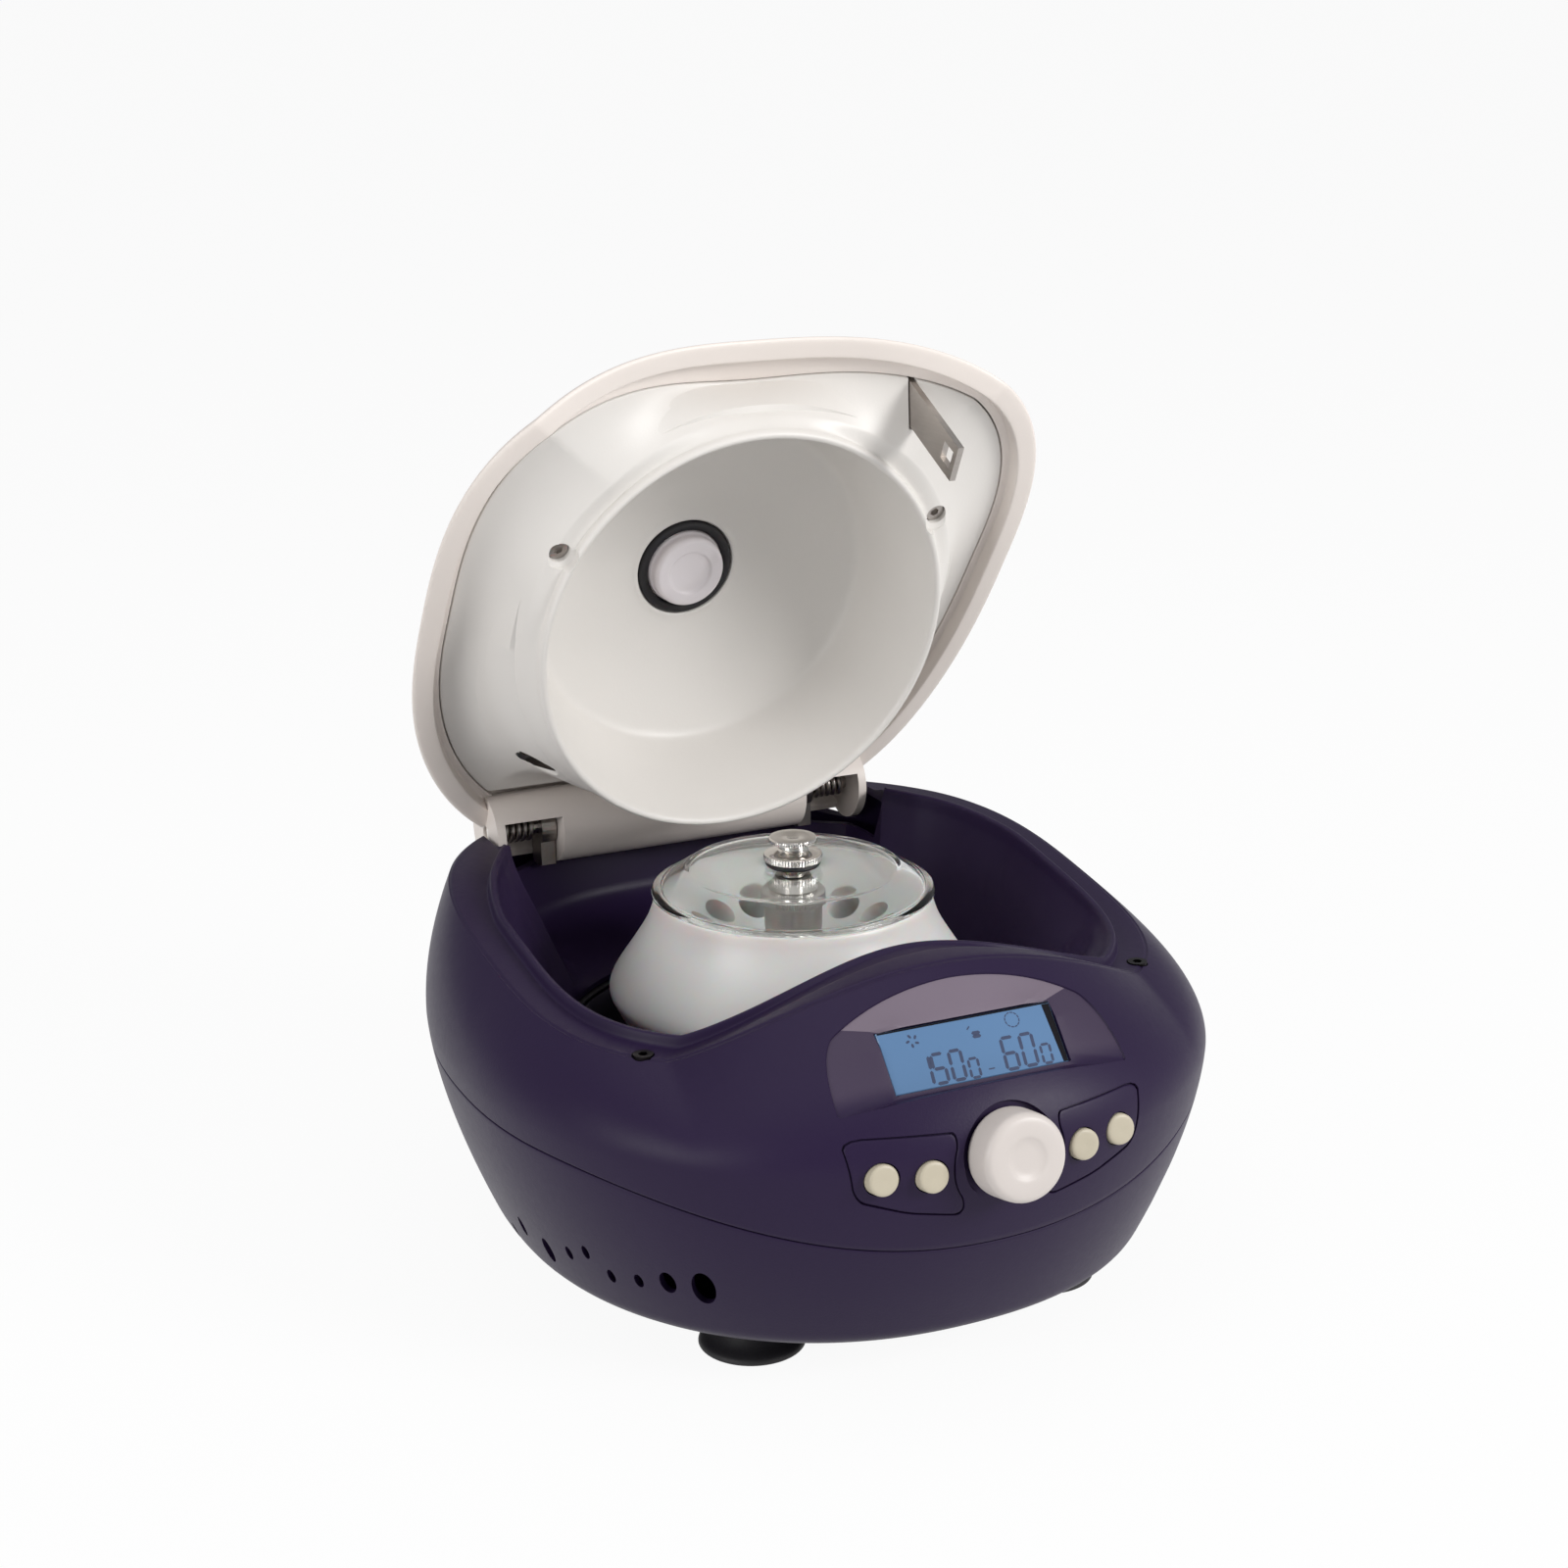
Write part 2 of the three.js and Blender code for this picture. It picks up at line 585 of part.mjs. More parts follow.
const knobFoot = -knobWellDepth + clearance
const knobShaftRadius = shaftRadius - runningGap
const dimpleRadius = 5.6
const dimpleDepth = 0.9
const knobProfile = [
  [0, panelBack + clearance * 2], [knobShaftRadius, panelBack + clearance * 2], [knobShaftRadius, knobFoot],
  [knobRadius - 0.9, knobFoot], [knobRadius, knobFoot + 1], [knobRadius - 0.3, knobHeight - 2.2],
  [knobRadius - 1.1, knobHeight - 0.6], [knobRadius - 2.4, knobHeight], [dimpleRadius + 0.8, knobHeight],
  [dimpleRadius, knobHeight - 0.35], [dimpleRadius * 0.6, knobHeight - dimpleDepth], [0, knobHeight - dimpleDepth],
]
const knobGroup = new THREE.Group()
knobGroup.applyMatrix4(panelFrame.clone().multiply(at(0, knobW, 0)))
machine.add(knobGroup)
piece('speed_knob', turned(knobProfile, 32), knobPlastic, knobGroup)

// Chamber: a spun bowl hung under the mouth of the recess, with a seal on its flange
const sealRing = [[mouthRadius - 1.2, 65], [78, 65], [78, 66.7], [mouthRadius - 1.2, 66.7], [mouthRadius - 1.2, 65]]
const bowlFlangeTop = 64.7
const chamberFloor = 48
const chamberRadius = 70.5
const bowlSheet = 1.2
const chamberBore = 9
const chamberProfile = [
  [chamberBore, chamberFloor - bowlSheet], [chamberRadius - 6, chamberFloor - bowlSheet],
  [chamberRadius - 1, chamberFloor + 1], [chamberRadius + bowlSheet, chamberFloor + 6],
  [chamberRadius + bowlSheet, bowlFlangeTop - bowlSheet], [79, bowlFlangeTop - bowlSheet], [79, bowlFlangeTop],
  [chamberRadius, bowlFlangeTop], [chamberRadius, chamberFloor + 6.4], [chamberRadius - 1.6, chamberFloor + 1.8],
  [chamberRadius - 6, chamberFloor], [chamberBore, chamberFloor], [chamberBore, chamberFloor - bowlSheet],
]
piece('chamber_seal', turned(sealRing, 32), blackRubber)
piece('chamber_bowl', turned(chamberProfile, 32), bowlAlloy)

// Drive: motor on a plate that stands on four rubber mounts, all on the floor of the base
const plateTop = chamberFloor - bowlSheet - clearance
const plateThickness = 3
const plateBottom = plateTop - plateThickness
const mountX = 58
const mountY = 38
const mountRadius = 7
const motorRadius = 28
const motorBottom = baseFloor + 1.6
const motorTop = plateBottom - clearance
const plateHole = solid(rod(chamberBore, plateBottom - overrun, plateTop + overrun, 32))
piece('motor_plate', solid(block(-mountX - 10, mountX + 10, -mountY - 10, mountY + 10, plateBottom, plateTop))
  .subtract(plateHole), satinSteel)
const mountPlaces = [[-1, -1], [1, -1], [-1, 1], [1, 1]]
mountPlaces.forEach(([sx, sy], i) => {
  piece(`rubber_mount_${i + 1}`, turned([
    [0, baseFloor + clearance], [mountRadius + 2, baseFloor + clearance], [mountRadius + 2, baseFloor + 4],
    [mountRadius - 1, baseFloor + 9], [mountRadius - 1, plateBottom - 8], [mountRadius + 2, plateBottom - 4],
    [mountRadius + 2, plateBottom - clearance], [0, plateBottom - clearance],
  ], 10), blackRubber).position.set(sx * mountX, sy * mountY, 0)
})
piece('motor', solid(turned([
  [0, motorBottom], [motorRadius - 2, motorBottom], [motorRadius, motorBottom + 2], [motorRadius, motorTop - 2],
  [motorRadius - 2, motorTop], [0, motorTop]], 28))
  .subtract(solid(rod(shaftRadius + runningGap, motorTop - 12, motorTop + overrun, 32))), blackPlastic)

// Mains side: control board on posts, inlet with its blades and the power switch
const boardY = 48
const boardDepth = 38
const boardHalfWidth = 34
const boardBottom = 20
const boardThickness = 1.6
const postRadius = 2.6
piece('control_board', block(-boardHalfWidth, boardHalfWidth, boardY, boardY + boardDepth, boardBottom,
  boardBottom + boardThickness), boardGreen)
const postPlaces = [[-1, 4], [1, 4], [0, 34]]
postPlaces.forEach(([sx, y], i) => {
  piece(`board_post_${i + 1}`, rod(postRadius, baseFloor + clearance, boardBottom - clearance, 16), creamPlastic)
    .position.set(sx * (boardHalfWidth - 4), boardY + y, 0)
})
const socketHalfWidth = 11.4
const socketHalfHeight = 7.8
const socketRecess = 16
const bladeSpacing = 7
const bladeHalfWidth = 1.1
const bladeHalfHeight = 2.2
const bladeDrop = 2
const bladeOffset = 1.6
const bladePlaces = [[-bladeSpacing, -bladeOffset], [0, bladeDrop], [bladeSpacing, -bladeOffset]]
let inlet = solid(block(inletX - inletHalfWidth, inletX + inletHalfWidth, powerPanelY - powerPanelDepth,
  powerPanelY, powerPanelHeight - inletHalfHeight, powerPanelHeight + inletHalfHeight))
  .subtract(solid(block(inletX - socketHalfWidth, inletX + socketHalfWidth, powerPanelY - socketRecess,
    powerPanelY + overrun, powerPanelHeight - socketHalfHeight, powerPanelHeight + socketHalfHeight)))
bladePlaces.forEach(([x, z]) => {
  inlet = inlet.subtract(solid(block(
    inletX + x - bladeHalfWidth - clearance, inletX + x + bladeHalfWidth + clearance,
    powerPanelY - socketRecess - 4, powerPanelY,
    powerPanelHeight + z - bladeHalfHeight - clearance, powerPanelHeight + z + bladeHalfHeight + clearance)))
})
piece('power_inlet', inlet, blackPlastic)
bladePlaces.forEach(([x, z], i) => {
  piece(`inlet_blade_${i + 1}`, block(inletX + x - bladeHalfWidth, inletX + x + bladeHalfWidth,
    powerPanelY - socketRecess - 4 + clearance, powerPanelY - 3,
    powerPanelHeight + z - bladeHalfHeight, powerPanelHeight + z + bladeHalfHeight), satinSteel)
})
const rockerHalfWidth = 5.2
const rockerHalfHeight = 8
const rockerDepth = 9
const rockerLean = 9
const rockerY = powerPanelY - 4.5
piece('switch_frame', solid(block(switchX - switchHalfWidth, switchX + switchHalfWidth,
  powerPanelY - powerPanelDepth, powerPanelY, powerPanelHeight - switchHalfHeight,
  powerPanelHeight + switchHalfHeight))
  .subtract(solid(block(switchX - rockerHalfWidth - clearance, switchX + rockerHalfWidth + clearance,
    powerPanelY - rockerDepth - 6, powerPanelY + overrun,
    powerPanelHeight - rockerHalfHeight - 1, powerPanelHeight + rockerHalfHeight + 1))), blackPlastic)
const rockerSide = new THREE.Shape([
  [-rockerHalfHeight, 3.4], [0, 2.2], [rockerHalfHeight, 3.4], [rockerHalfHeight - 1.2, -3.2], [0, -rockerDepth + 3],
  [-rockerHalfHeight + 1.2, -3.2],
].map(([z, y]) => new THREE.Vector2(z, y)))
const rockerGroup = new THREE.Group()
rockerGroup.position.set(switchX, rockerY, powerPanelHeight)
rockerGroup.rotation.x = degrees(rockerLean)
machine.add(rockerGroup)
piece('power_rocker', moved(prism(rockerSide, -rockerHalfWidth, rockerHalfWidth),
  new THREE.Matrix4().makeRotationY(Math.PI / 2).multiply(new THREE.Matrix4().makeRotationZ(Math.PI))
    .premultiply(new THREE.Matrix4().makeBasis(
      new THREE.Vector3(1, 0, 0), new THREE.Vector3(0, 1, 0), new THREE.Vector3(0, 0, 1)))), blackPlastic, rockerGroup)

// Rotor: shaft, hub and a twelve-place angle rotor that spin together
const rotorProfile = [
  [46.5, 56.9], [49.5, 62.9], [rotorMaxRadius, 80.9], [58.2, 85.4], [51.6, 94.9], [45.5, 105.9],
  [rotorRimRadius, rotorRimHeight - 1.6], [41.4, rotorRimHeight - 1.6], [38.6, 108.4], [19.6, 89.4], [16, 87],
  [12.4, 87], [12.4, 74], [9, 72], [9, 56.9], [46.5, 56.9],
]
const tubePlaces = 12
const boreRadius = 5.7
const boreAngle = 45
const boreTopRadius = 29
const boreTopHeight = 99
const boreLength = 27
const rotorSteps = 32
let rotorBody = solid(turned(rotorProfile, rotorSteps))
for (let i = 0; i < tubePlaces; i++) {
  const bore = rod(boreRadius, -boreLength, overrun, 8)
  const frame = new THREE.Matrix4().makeRotationZ(2 * Math.PI * i / tubePlaces)
    .multiply(at(boreTopRadius, 0, boreTopHeight))
    .multiply(new THREE.Matrix4().makeRotationY(degrees(-boreAngle)))
  rotorBody = rotorBody.subtract(solid(moved(bore, frame)))
}
const rotorGroup = new THREE.Group()
machine.add(rotorGroup)
piece('rotor', rotorBody, rotorPlastic, rotorGroup)
const hubBottom = 58
const hubTop = 116
const hubRadius = 9 - clearance
piece('rotor_hub', turned([
  [shaftRadius + runningGap, hubBottom], [hubRadius, hubBottom], [hubRadius, 72.3], [12.1, 74.5], [12.1, 88.6],
  [9, 90], [9, 108.4], [10, 109.2], [10, 111.6], [7, 113.4], [6, hubTop], [shaftRadius + runningGap, hubTop],
  [shaftRadius + runningGap, hubBottom],
], 24), satinSteel, rotorGroup)
piece('motor_shaft', rod(shaftRadius, motorTop - 11.4, 115, 32), polishedSteel, rotorGroup)

// Clear rotor cover, its O-ring and the lift-off knurled nut
const coverThickness = 1.7
const coverBore = 5.7
const coverOuter = rotorRimRadius + 0.8
const coverBottom = rotorRimHeight - 1.3
const nutCollarBottom = coverDiscHeight + 1.7
const coverGroup = new THREE.Group()
rotorGroup.add(coverGroup)
piece('rotor_cover', turned([
  [coverOuter - 4, coverBottom], [coverOuter, coverBottom], [coverOuter, coverBottom + 1.4],
  [coverDiscRadius + 1.4, coverDiscHeight], [coverBore, coverDiscHeight], [coverBore, coverDiscHeight - coverThickness],
  [coverDiscRadius, coverDiscHeight - coverThickness], [coverOuter - 4, coverBottom + 1.2], [coverOuter - 4, coverBottom],
], 36), clearPlastic, coverGroup)
const ringTube = 0.8
const oRing = (radius, tube, z, steps = 24) => new THREE.TorusGeometry(radius, tube, 6, steps).translate(0, 0, z)
piece('cover_ring', oRing(8, ringTube, coverDiscHeight + clearance / 2 + ringTube), blackRubber, coverGroup)
piece('cover_nut', turned([
  [0, 116.4], [4.4, 116.4], [4.4, coverDiscHeight], [5.3, nutCollarBottom], [9.2, nutCollarBottom + 0.4],
  [9.2, nutCollarBottom + 2.6], [7, nutCollarBottom + 3.4], [4.7, nutCollarBottom + 4.2],
  [4.7, nutTopHeight - 2.4], [7.6, nutTopHeight - 1.8], [7.6, nutTopHeight - 0.5], [6.8, nutTopHeight], [0, nutTopHeight],
], 24), polishedSteel, coverGroup)

// Lid, drawn closed in housing coordinates and then swung open about the hinge axis
const lidSwing = new THREE.Group()
lidSwing.position.set(0, hingeY, hingeZ)
lidSwing.rotation.x = -degrees(lidOpenAngle)
machine.add(lidSwing)
const lid = new THREE.Group()
lid.position.set(0, -hingeY, -hingeZ)
lidSwing.add(lid)

const lidFrontReach = 95
const lidArchInset = 8
const lidShell = 2.6
const lidSeatGap = 0.6
const lipWidth = 7.2
const linerInset = 11
const linerRise = 5.2
const domePower = 2.4
const frontLedge = 6
const ledgeExtra = p => frontLedge * archShare(p.x, p.y)
const domeShares = [0.985, 0.93, 0.84, 0.7, 0.52, 0.32, 0.14]
const lidPlan = angle => {
  const p = plan(angle, rimHalfWidth, lidFrontReach, rimRearReach, planPower.rimFront, planPower.rimRear, 0)
  return towardAxis(p, lidArchInset * archShare(p.x, p.y))
}
const lidEdgeHeight = p => rimHeight(p.x, p.y) - archStep * archShare(p.x, p.y)
const lidRing = (inset, rise) => ring(angle => {
  const rim = lidPlan(angle)
  const p = towardAxis(rim, typeof inset === 'function' ? inset(rim) : inset)
  return new THREE.Vector3(p.x, p.y, lidEdgeHeight(rim) + rise)
})
const domeRing = (share, inset, drop) => ring(angle => {
  const rim = lidPlan(angle)
  const crest = new THREE.Vector2(0, domeTopY)
  const p = crest.clone().lerp(rim, share)
  p.multiplyScalar(1 - inset * share / p.length())
  const edge = lidEdgeHeight(rim) + lidSeatGap + 1.4
  return new THREE.Vector3(p.x, p.y, lerp(domeTopHeight, edge, share ** domePower) - drop)
})
const bowlFrame = at(0, bowlCentreY, bowlRimHeight)
  .multiply(new THREE.Matrix4().makeRotationX(-degrees(bowlTilt)))
const portRadius = 13
const lensGap = 0.35
const portRod = (radius, z0, z1, steps = 36) => solid(moved(rod(radius, z0, z1, steps), bowlFrame))

const innerShares = [...domeShares].reverse()
let lidBody = solid(loft([
  ...innerShares.slice(0, -2).map(share => domeRing(share, lidShell * share, lidShell * 1.15)),
  lidRing(p => lipWidth + ledgeExtra(p) + 3.4, linerRise + 2.8),
  lidRing(p => lipWidth + ledgeExtra(p) + 3.4, linerRise),
  lidRing(lipWidth + 0.6, linerRise),
  lidRing(lipWidth, lidSeatGap),
  lidRing(0.9, lidSeatGap),
  lidRing(0.2, lidSeatGap + 0.6),
  ...domeShares.map(share => domeRing(share, 0, 0)),
]))
const behindHinge = solid(block(-overrun * 3, overrun * 3, hingeY, hingeY + overrun * 2, 0, overrun * 5))
lidBody = lidBody.subtract(behindHinge.subtract(alongX(barrelRadius, overrun * 4)))
  .add(alongX(barrelRadius, lidRearHalfWidth))

// Hinge: the lid barrel turns on two pins held by steel brackets, with a coil spring beside each
const pinRadius = 2.5
const pinHole = pinRadius + runningGap
const pinInner = 37
const pinOuter = 68.4
const eyeInner = 46
const eyeOuter = 51
const notchInner = eyeInner - 0.6
const notchOuter = 66
const eyeRadius = 6.6
const notchRadius = barrelRadius - lidShell
const tubeBetween = (radius, x0, x1, steps = 32) => solid(moved(
  tubeAlongX(radius, 0, Math.min(x0, x1), Math.max(x0, x1), steps), at(0, hingeY, hingeZ)))
for (const side of [-1, 1]) {
  lidBody = lidBody
    .subtract(tubeBetween(notchRadius, side * notchInner, side * notchOuter, 24))
    .subtract(solid(block(Math.min(side * notchInner, side * notchOuter), Math.max(side * notchInner, side * notchOuter),
      hingeY - notchRadius, hingeY + overrun, hingeZ - overrun, hingeZ)))
    .subtract(tubeBetween(pinHole, side * (pinInner - clearance), side * (lidRearHalfWidth + 1), 24))
}
lidBody = lidBody.subtract(portRod(portRadius + lensGap, bowlDepth - 8, bowlDepth + overrun))

// Screw bosses and striker of the lid
const linerScrewPlaces = [[-64.3, -31.3, 99.6], [64.3, -31.3, 99.6], [-60.5, 58, 108.5], [60.5, 58, 108.5]]
const strikerTop = 114
const strikerSeat = 1.3
const linerScrewRadius = 3.1

// Liner: a flange that runs from the seam to the crest of the bowl, then the bowl itself
const bowlRadius = 67.3
const bowlWall = 2.6
const crestRadius = bowlRadius + bowlWall
const bowlDrops = [[0.8, 66.9], [10, 66.3], [20, 64.3], [30, 60.3], [38, 54.3], [44, 46.3], [48, 38], [bowlDepth, 20]]
const flangeShares = [0, 0.3, 0.6, 0.82]
const flangePower = 2.4
const linerRearY = 82.6
const flangeLift = 2
const flangeSpread = 2.4
const windowRingRadius = 16.8
const flangeRing = (share, lift, spread) => ring(angle => {
  const rim = lidPlan(angle)
  const seam = towardAxis(rim, linerInset + ledgeExtra(rim))
  seam.y = Math.min(seam.y, linerRearY)
  const crest = new THREE.Vector3(Math.cos(angle), Math.sin(angle), 0).multiplyScalar(crestRadius + spread)
    .applyMatrix4(bowlFrame)
  const p = seam.clone().lerp(new THREE.Vector2(crest.x, crest.y), share)
  const seamZ = lidEdgeHeight(rim) + linerRise
  return new THREE.Vector3(p.x, p.y, lerp(seamZ, crest.z, share ** flangePower) + lift)
})
const bowlRing = (depth, radius) => ring(angle => new THREE.Vector3(
  radius * Math.cos(angle), radius * Math.sin(angle), depth).applyMatrix4(bowlFrame))
let liner = solid(loft([
  ...flangeShares.map(share => flangeRing(share, 0, 0)),
  bowlRing(3, crestRadius),
  bowlRing(0.9, crestRadius - 0.1),
  bowlRing(0, crestRadius - 0.9),
  bowlRing(0, bowlRadius + 0.5),
  ...bowlDrops.map(([depth, radius]) => bowlRing(depth, radius)),
  bowlRing(bowlDepth, windowRingRadius),
  bowlRing(bowlDepth + bowlWall, windowRingRadius),
  bowlRing(bowlDepth + bowlWall, 21),
  bowlRing(48 + bowlWall, 40),
  bowlRing(38 + bowlWall * 0.6, 56.6),
  bowlRing(20 + bowlWall * 0.2, crestRadius - 3),
  bowlRing(8, crestRadius - 0.8 + bowlWall * 0.3),
  ...[...flangeShares].reverse().map(share => flangeRing(share, flangeLift, flangeSpread)),
], true))
linerScrewPlaces.forEach(([x, y, z]) => {
  liner = liner.subtract(solid(moved(rod(linerScrewRadius + clearance, z - overrun, z + overrun, 18), at(x, y, 0))))
})
const strikerHole = solid(block(strikerX - strikerSeat, strikerX + strikerSeat, strikerY - strikerWidth / 2 - 1,
  strikerY + strikerWidth / 2 + 1, strikerTop - overrun, strikerTop + overrun))
liner = liner.subtract(strikerHole)
piece('lid_shell', lidBody, ivoryPlastic, lid)
piece('lid_liner', liner, linerPlastic, lid)

// Striker plate of the latch, let into the liner, with a square eye near its tip
const strikerTip = strikerTop - strikerLength
const eyeHalf = 3
const eyeHeight = strikerTip + 5.2
const striker = solid(block(strikerX - strikerThickness / 2, strikerX + strikerThickness / 2,
  strikerY - strikerWidth / 2, strikerY + strikerWidth / 2, strikerTip, strikerTop))
  .subtract(solid(block(strikerX - overrun, strikerX + overrun, strikerY - eyeHalf, strikerY + eyeHalf,
    eyeHeight - eyeHalf, eyeHeight + eyeHalf)))
piece('striker_plate', striker, satinSteel, lid)
linerScrewPlaces.forEach(([x, y, z], i) => {
  const head = solid(rod(linerScrewRadius, z + 1, z + 5, 18))
    .subtract(solid(rod(socketRadius, z - overrun, z + 1 + socketDepth, 6)))
  piece(`liner_screw_${i + 1}`, head, satinSteel, lid).position.set(x, y, 0)
})

// Viewing port: a clear stepped lens on the bowl axis inside a black ring
const lensProfile = [
  [0, bowlDepth - 4.5], [11.5, bowlDepth - 4.5], [12.6, bowlDepth - 3.4], [portRadius, bowlDepth + 1],
  [portRadius, bowlDepth + 3], [portRadius, bowlDepth + 9.6], [portRadius - 1, bowlDepth + 10.4], [0, bowlDepth + 10.4],
]
piece('port_lens', moved(turned(lensProfile, 24), bowlFrame), clearPlastic, lid)
const portSeal = [
  [portRadius + clearance, bowlDepth - 0.6], [windowRingRadius - clearance, bowlDepth - 0.6],
  [windowRingRadius - clearance, bowlDepth + bowlWall], [portRadius + clearance, bowlDepth + bowlWall],
  [portRadius + clearance, bowlDepth - 0.6],
]
piece('port_seal', moved(turned(portSeal, 24), bowlFrame), blackRubber, lid)

// Hinge brackets, pins and coil springs stay with the housing
const bracketHalfDepth = 4.5
const springWire = 0.9
const springRadius = pinRadius + clearance + springWire
const springTurns = 4
const coilSteps = 9
const springInner = 53
const springOuter = 64
for (const [name, side] of [['left', -1], ['right', 1]]) {
  const eye = tubeBetween(eyeRadius, side * eyeInner, side * eyeOuter)
    .add(solid(block(Math.min(side * eyeInner, side * eyeOuter), Math.max(side * eyeInner, side * eyeOuter),
      hingeY - bracketHalfDepth, hingeY + bracketHalfDepth, pocketFootZ + clearance, hingeZ)).intersect(alongX(pocketRadius - clearance, overrun * 2)))
    .subtract(tubeBetween(pinHole, side * (eyeInner - 1), side * (eyeOuter + 1), 24))
  piece(`hinge_bracket_${name}`, eye, satinSteel)
  piece(`hinge_pin_${name}`, tubeBetween(pinRadius, side * pinInner, side * pinOuter, 24), polishedSteel)
  const coil = new THREE.CatmullRomCurve3(Array.from({ length: springTurns * coilSteps + 1 }, (_, i) => {
    const turn = i / coilSteps * 2 * Math.PI
    return new THREE.Vector3(
      side * lerp(springInner, springOuter, i / (springTurns * coilSteps)),
      hingeY + springRadius * Math.cos(turn), hingeZ + springRadius * Math.sin(turn))
  }))
  const wireSection = new THREE.Shape().absarc(0, 0, springWire, 0, 2 * Math.PI)
  piece(`hinge_spring_${name}`, new THREE.ExtrudeGeometry(wireSection, {
    extrudePath: coil, steps: springTurns * coilSteps, curveSegments: 3, bevelEnabled: false,
  }), satinSteel)
}

// Latch under the slot: a housing and the bolt that crosses the eye of the striker
const boltHalf = 1.9
const boltFront = strikerX + strikerThickness / 2 + slotGap
const boltLength = 12
const latchFront = boltFront + 0.4
const latchBack = latchFront + 16
const latchHalf = 3.4
const latchBottom = eyeHeight - 6
const latchTop = eyeHeight + 2.8
piece('latch_housing', solid(block(latchFront, latchBack, strikerY - latchHalf, strikerY + latchHalf,
  latchBottom, latchTop))
  .subtract(solid(block(latchFront - 1, latchFront + boltLength + 1, strikerY - boltHalf - clearance,
    strikerY + boltHalf + clearance, eyeHeight - boltHalf - clearance, eyeHeight + boltHalf + clearance))),
blackPlastic)
piece('latch_bolt', block(boltFront, boltFront + boltLength, strikerY - boltHalf, strikerY + boltHalf,
  eyeHeight - boltHalf, eyeHeight + boltHalf), satinSteel)

part.updateMatrixWorld(true)
export default part
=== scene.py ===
import math

import bpy
import numpy as np
from mathutils import Matrix, Vector


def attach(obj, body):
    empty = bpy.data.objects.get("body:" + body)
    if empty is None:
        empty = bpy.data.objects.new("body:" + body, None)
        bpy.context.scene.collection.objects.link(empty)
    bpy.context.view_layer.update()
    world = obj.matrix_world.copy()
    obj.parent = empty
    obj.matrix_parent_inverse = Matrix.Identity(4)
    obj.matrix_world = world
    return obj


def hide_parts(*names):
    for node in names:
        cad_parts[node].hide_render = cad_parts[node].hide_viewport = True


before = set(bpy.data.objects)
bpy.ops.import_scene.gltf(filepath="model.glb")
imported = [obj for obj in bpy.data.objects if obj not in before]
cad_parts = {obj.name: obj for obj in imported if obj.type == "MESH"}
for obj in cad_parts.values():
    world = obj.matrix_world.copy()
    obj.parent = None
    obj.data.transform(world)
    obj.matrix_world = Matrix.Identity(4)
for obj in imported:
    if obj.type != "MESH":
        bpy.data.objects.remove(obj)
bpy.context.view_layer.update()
scene = bpy.context.scene

# The view: a long lens at bench height, to the left of the control panel and a little above it.
# The picture is cropped low on a taller one, which is what the lens shift does here.
def add_object(name, data):
    """Puts a camera, a lamp or a mesh in the scene as an object at the origin."""
    thing = bpy.data.objects.new(name, data)
    scene.collection.objects.link(thing)
    return thing


azimuth, elevation, roll = map(math.radians, (-25.4966, 21.9789, -0.4))
distance, aim = 0.831536, np.array([0.0, 0.01346, 0.070])
right = np.array([math.cos(azimuth), math.sin(azimuth), 0])
back = np.array([right[1] * math.cos(elevation), -right[0] * math.cos(elevation), math.sin(elevation)])
up = np.cross(back, right)
lens = bpy.data.cameras.new("bench_lens")
lens.sensor_width, lens.lens = 36.0, 58.957
lens.shift_x, lens.shift_y = -0.00641, 0.14672
camera = add_object("bench_camera", lens)
placing = np.eye(4)
placing[:3] = np.stack([right * math.cos(roll) + up * math.sin(roll),
                        up * math.cos(roll) - right * math.sin(roll),
                        back, aim + back * distance], 1)
camera.matrix_world = Matrix(placing.tolist())
scene.camera = camera
scene.view_settings.view_transform = "Standard"

# The bench and the studio: a pale floor that shows white to the lens, a large soft box overhead,
# a smaller one at each side, the right one in front, as catalogue pictures are lit.
def fill(tree, holder, inputs):
    """Fills inputs, by name or number, with values, sockets or a node's first output."""
    for key, value in inputs.items():
        if isinstance(value, bpy.types.Node):
            value = value.outputs[0]
        if isinstance(value, bpy.types.NodeSocket):
            tree.links.new(value, holder.inputs[key])
        else:
            holder.inputs[key].default_value = value


def node(tree, kind, inputs={}, **settings):
    """A new shader node with its settings and its inputs."""
    made = tree.nodes.new("ShaderNode" + kind)
    for key, value in settings.items():
        setattr(made, key, value)
    fill(tree, made, inputs)
    return made


def maths(tree, operation, *inputs):
    """A new Math node."""
    return node(tree, "Math", dict(enumerate(inputs)), operation=operation)


def seen_white(thing, rays, strongest, plain, glow, output):
    """Shows white to the camera and some other rays, up to a strongest share, and is plain to all
    the rest."""
    thing.use_nodes = True
    tree = thing.node_tree
    tree.nodes.clear()
    path = node(tree, "LightPath").outputs
    share = path["Is Camera Ray"]
    for ray in rays:
        share = maths(tree, "MAXIMUM", share, path[f"Is {ray} Ray"])
    share = maths(tree, "MULTIPLY", share, strongest)
    white = node(tree, glow, {"Color": (1, 1, 1, 1), "Strength": 1.0})
    blend = node(tree, "MixShader", {0: share, 1: node(tree, *plain), 2: white})
    node(tree, output, {"Surface": blend})


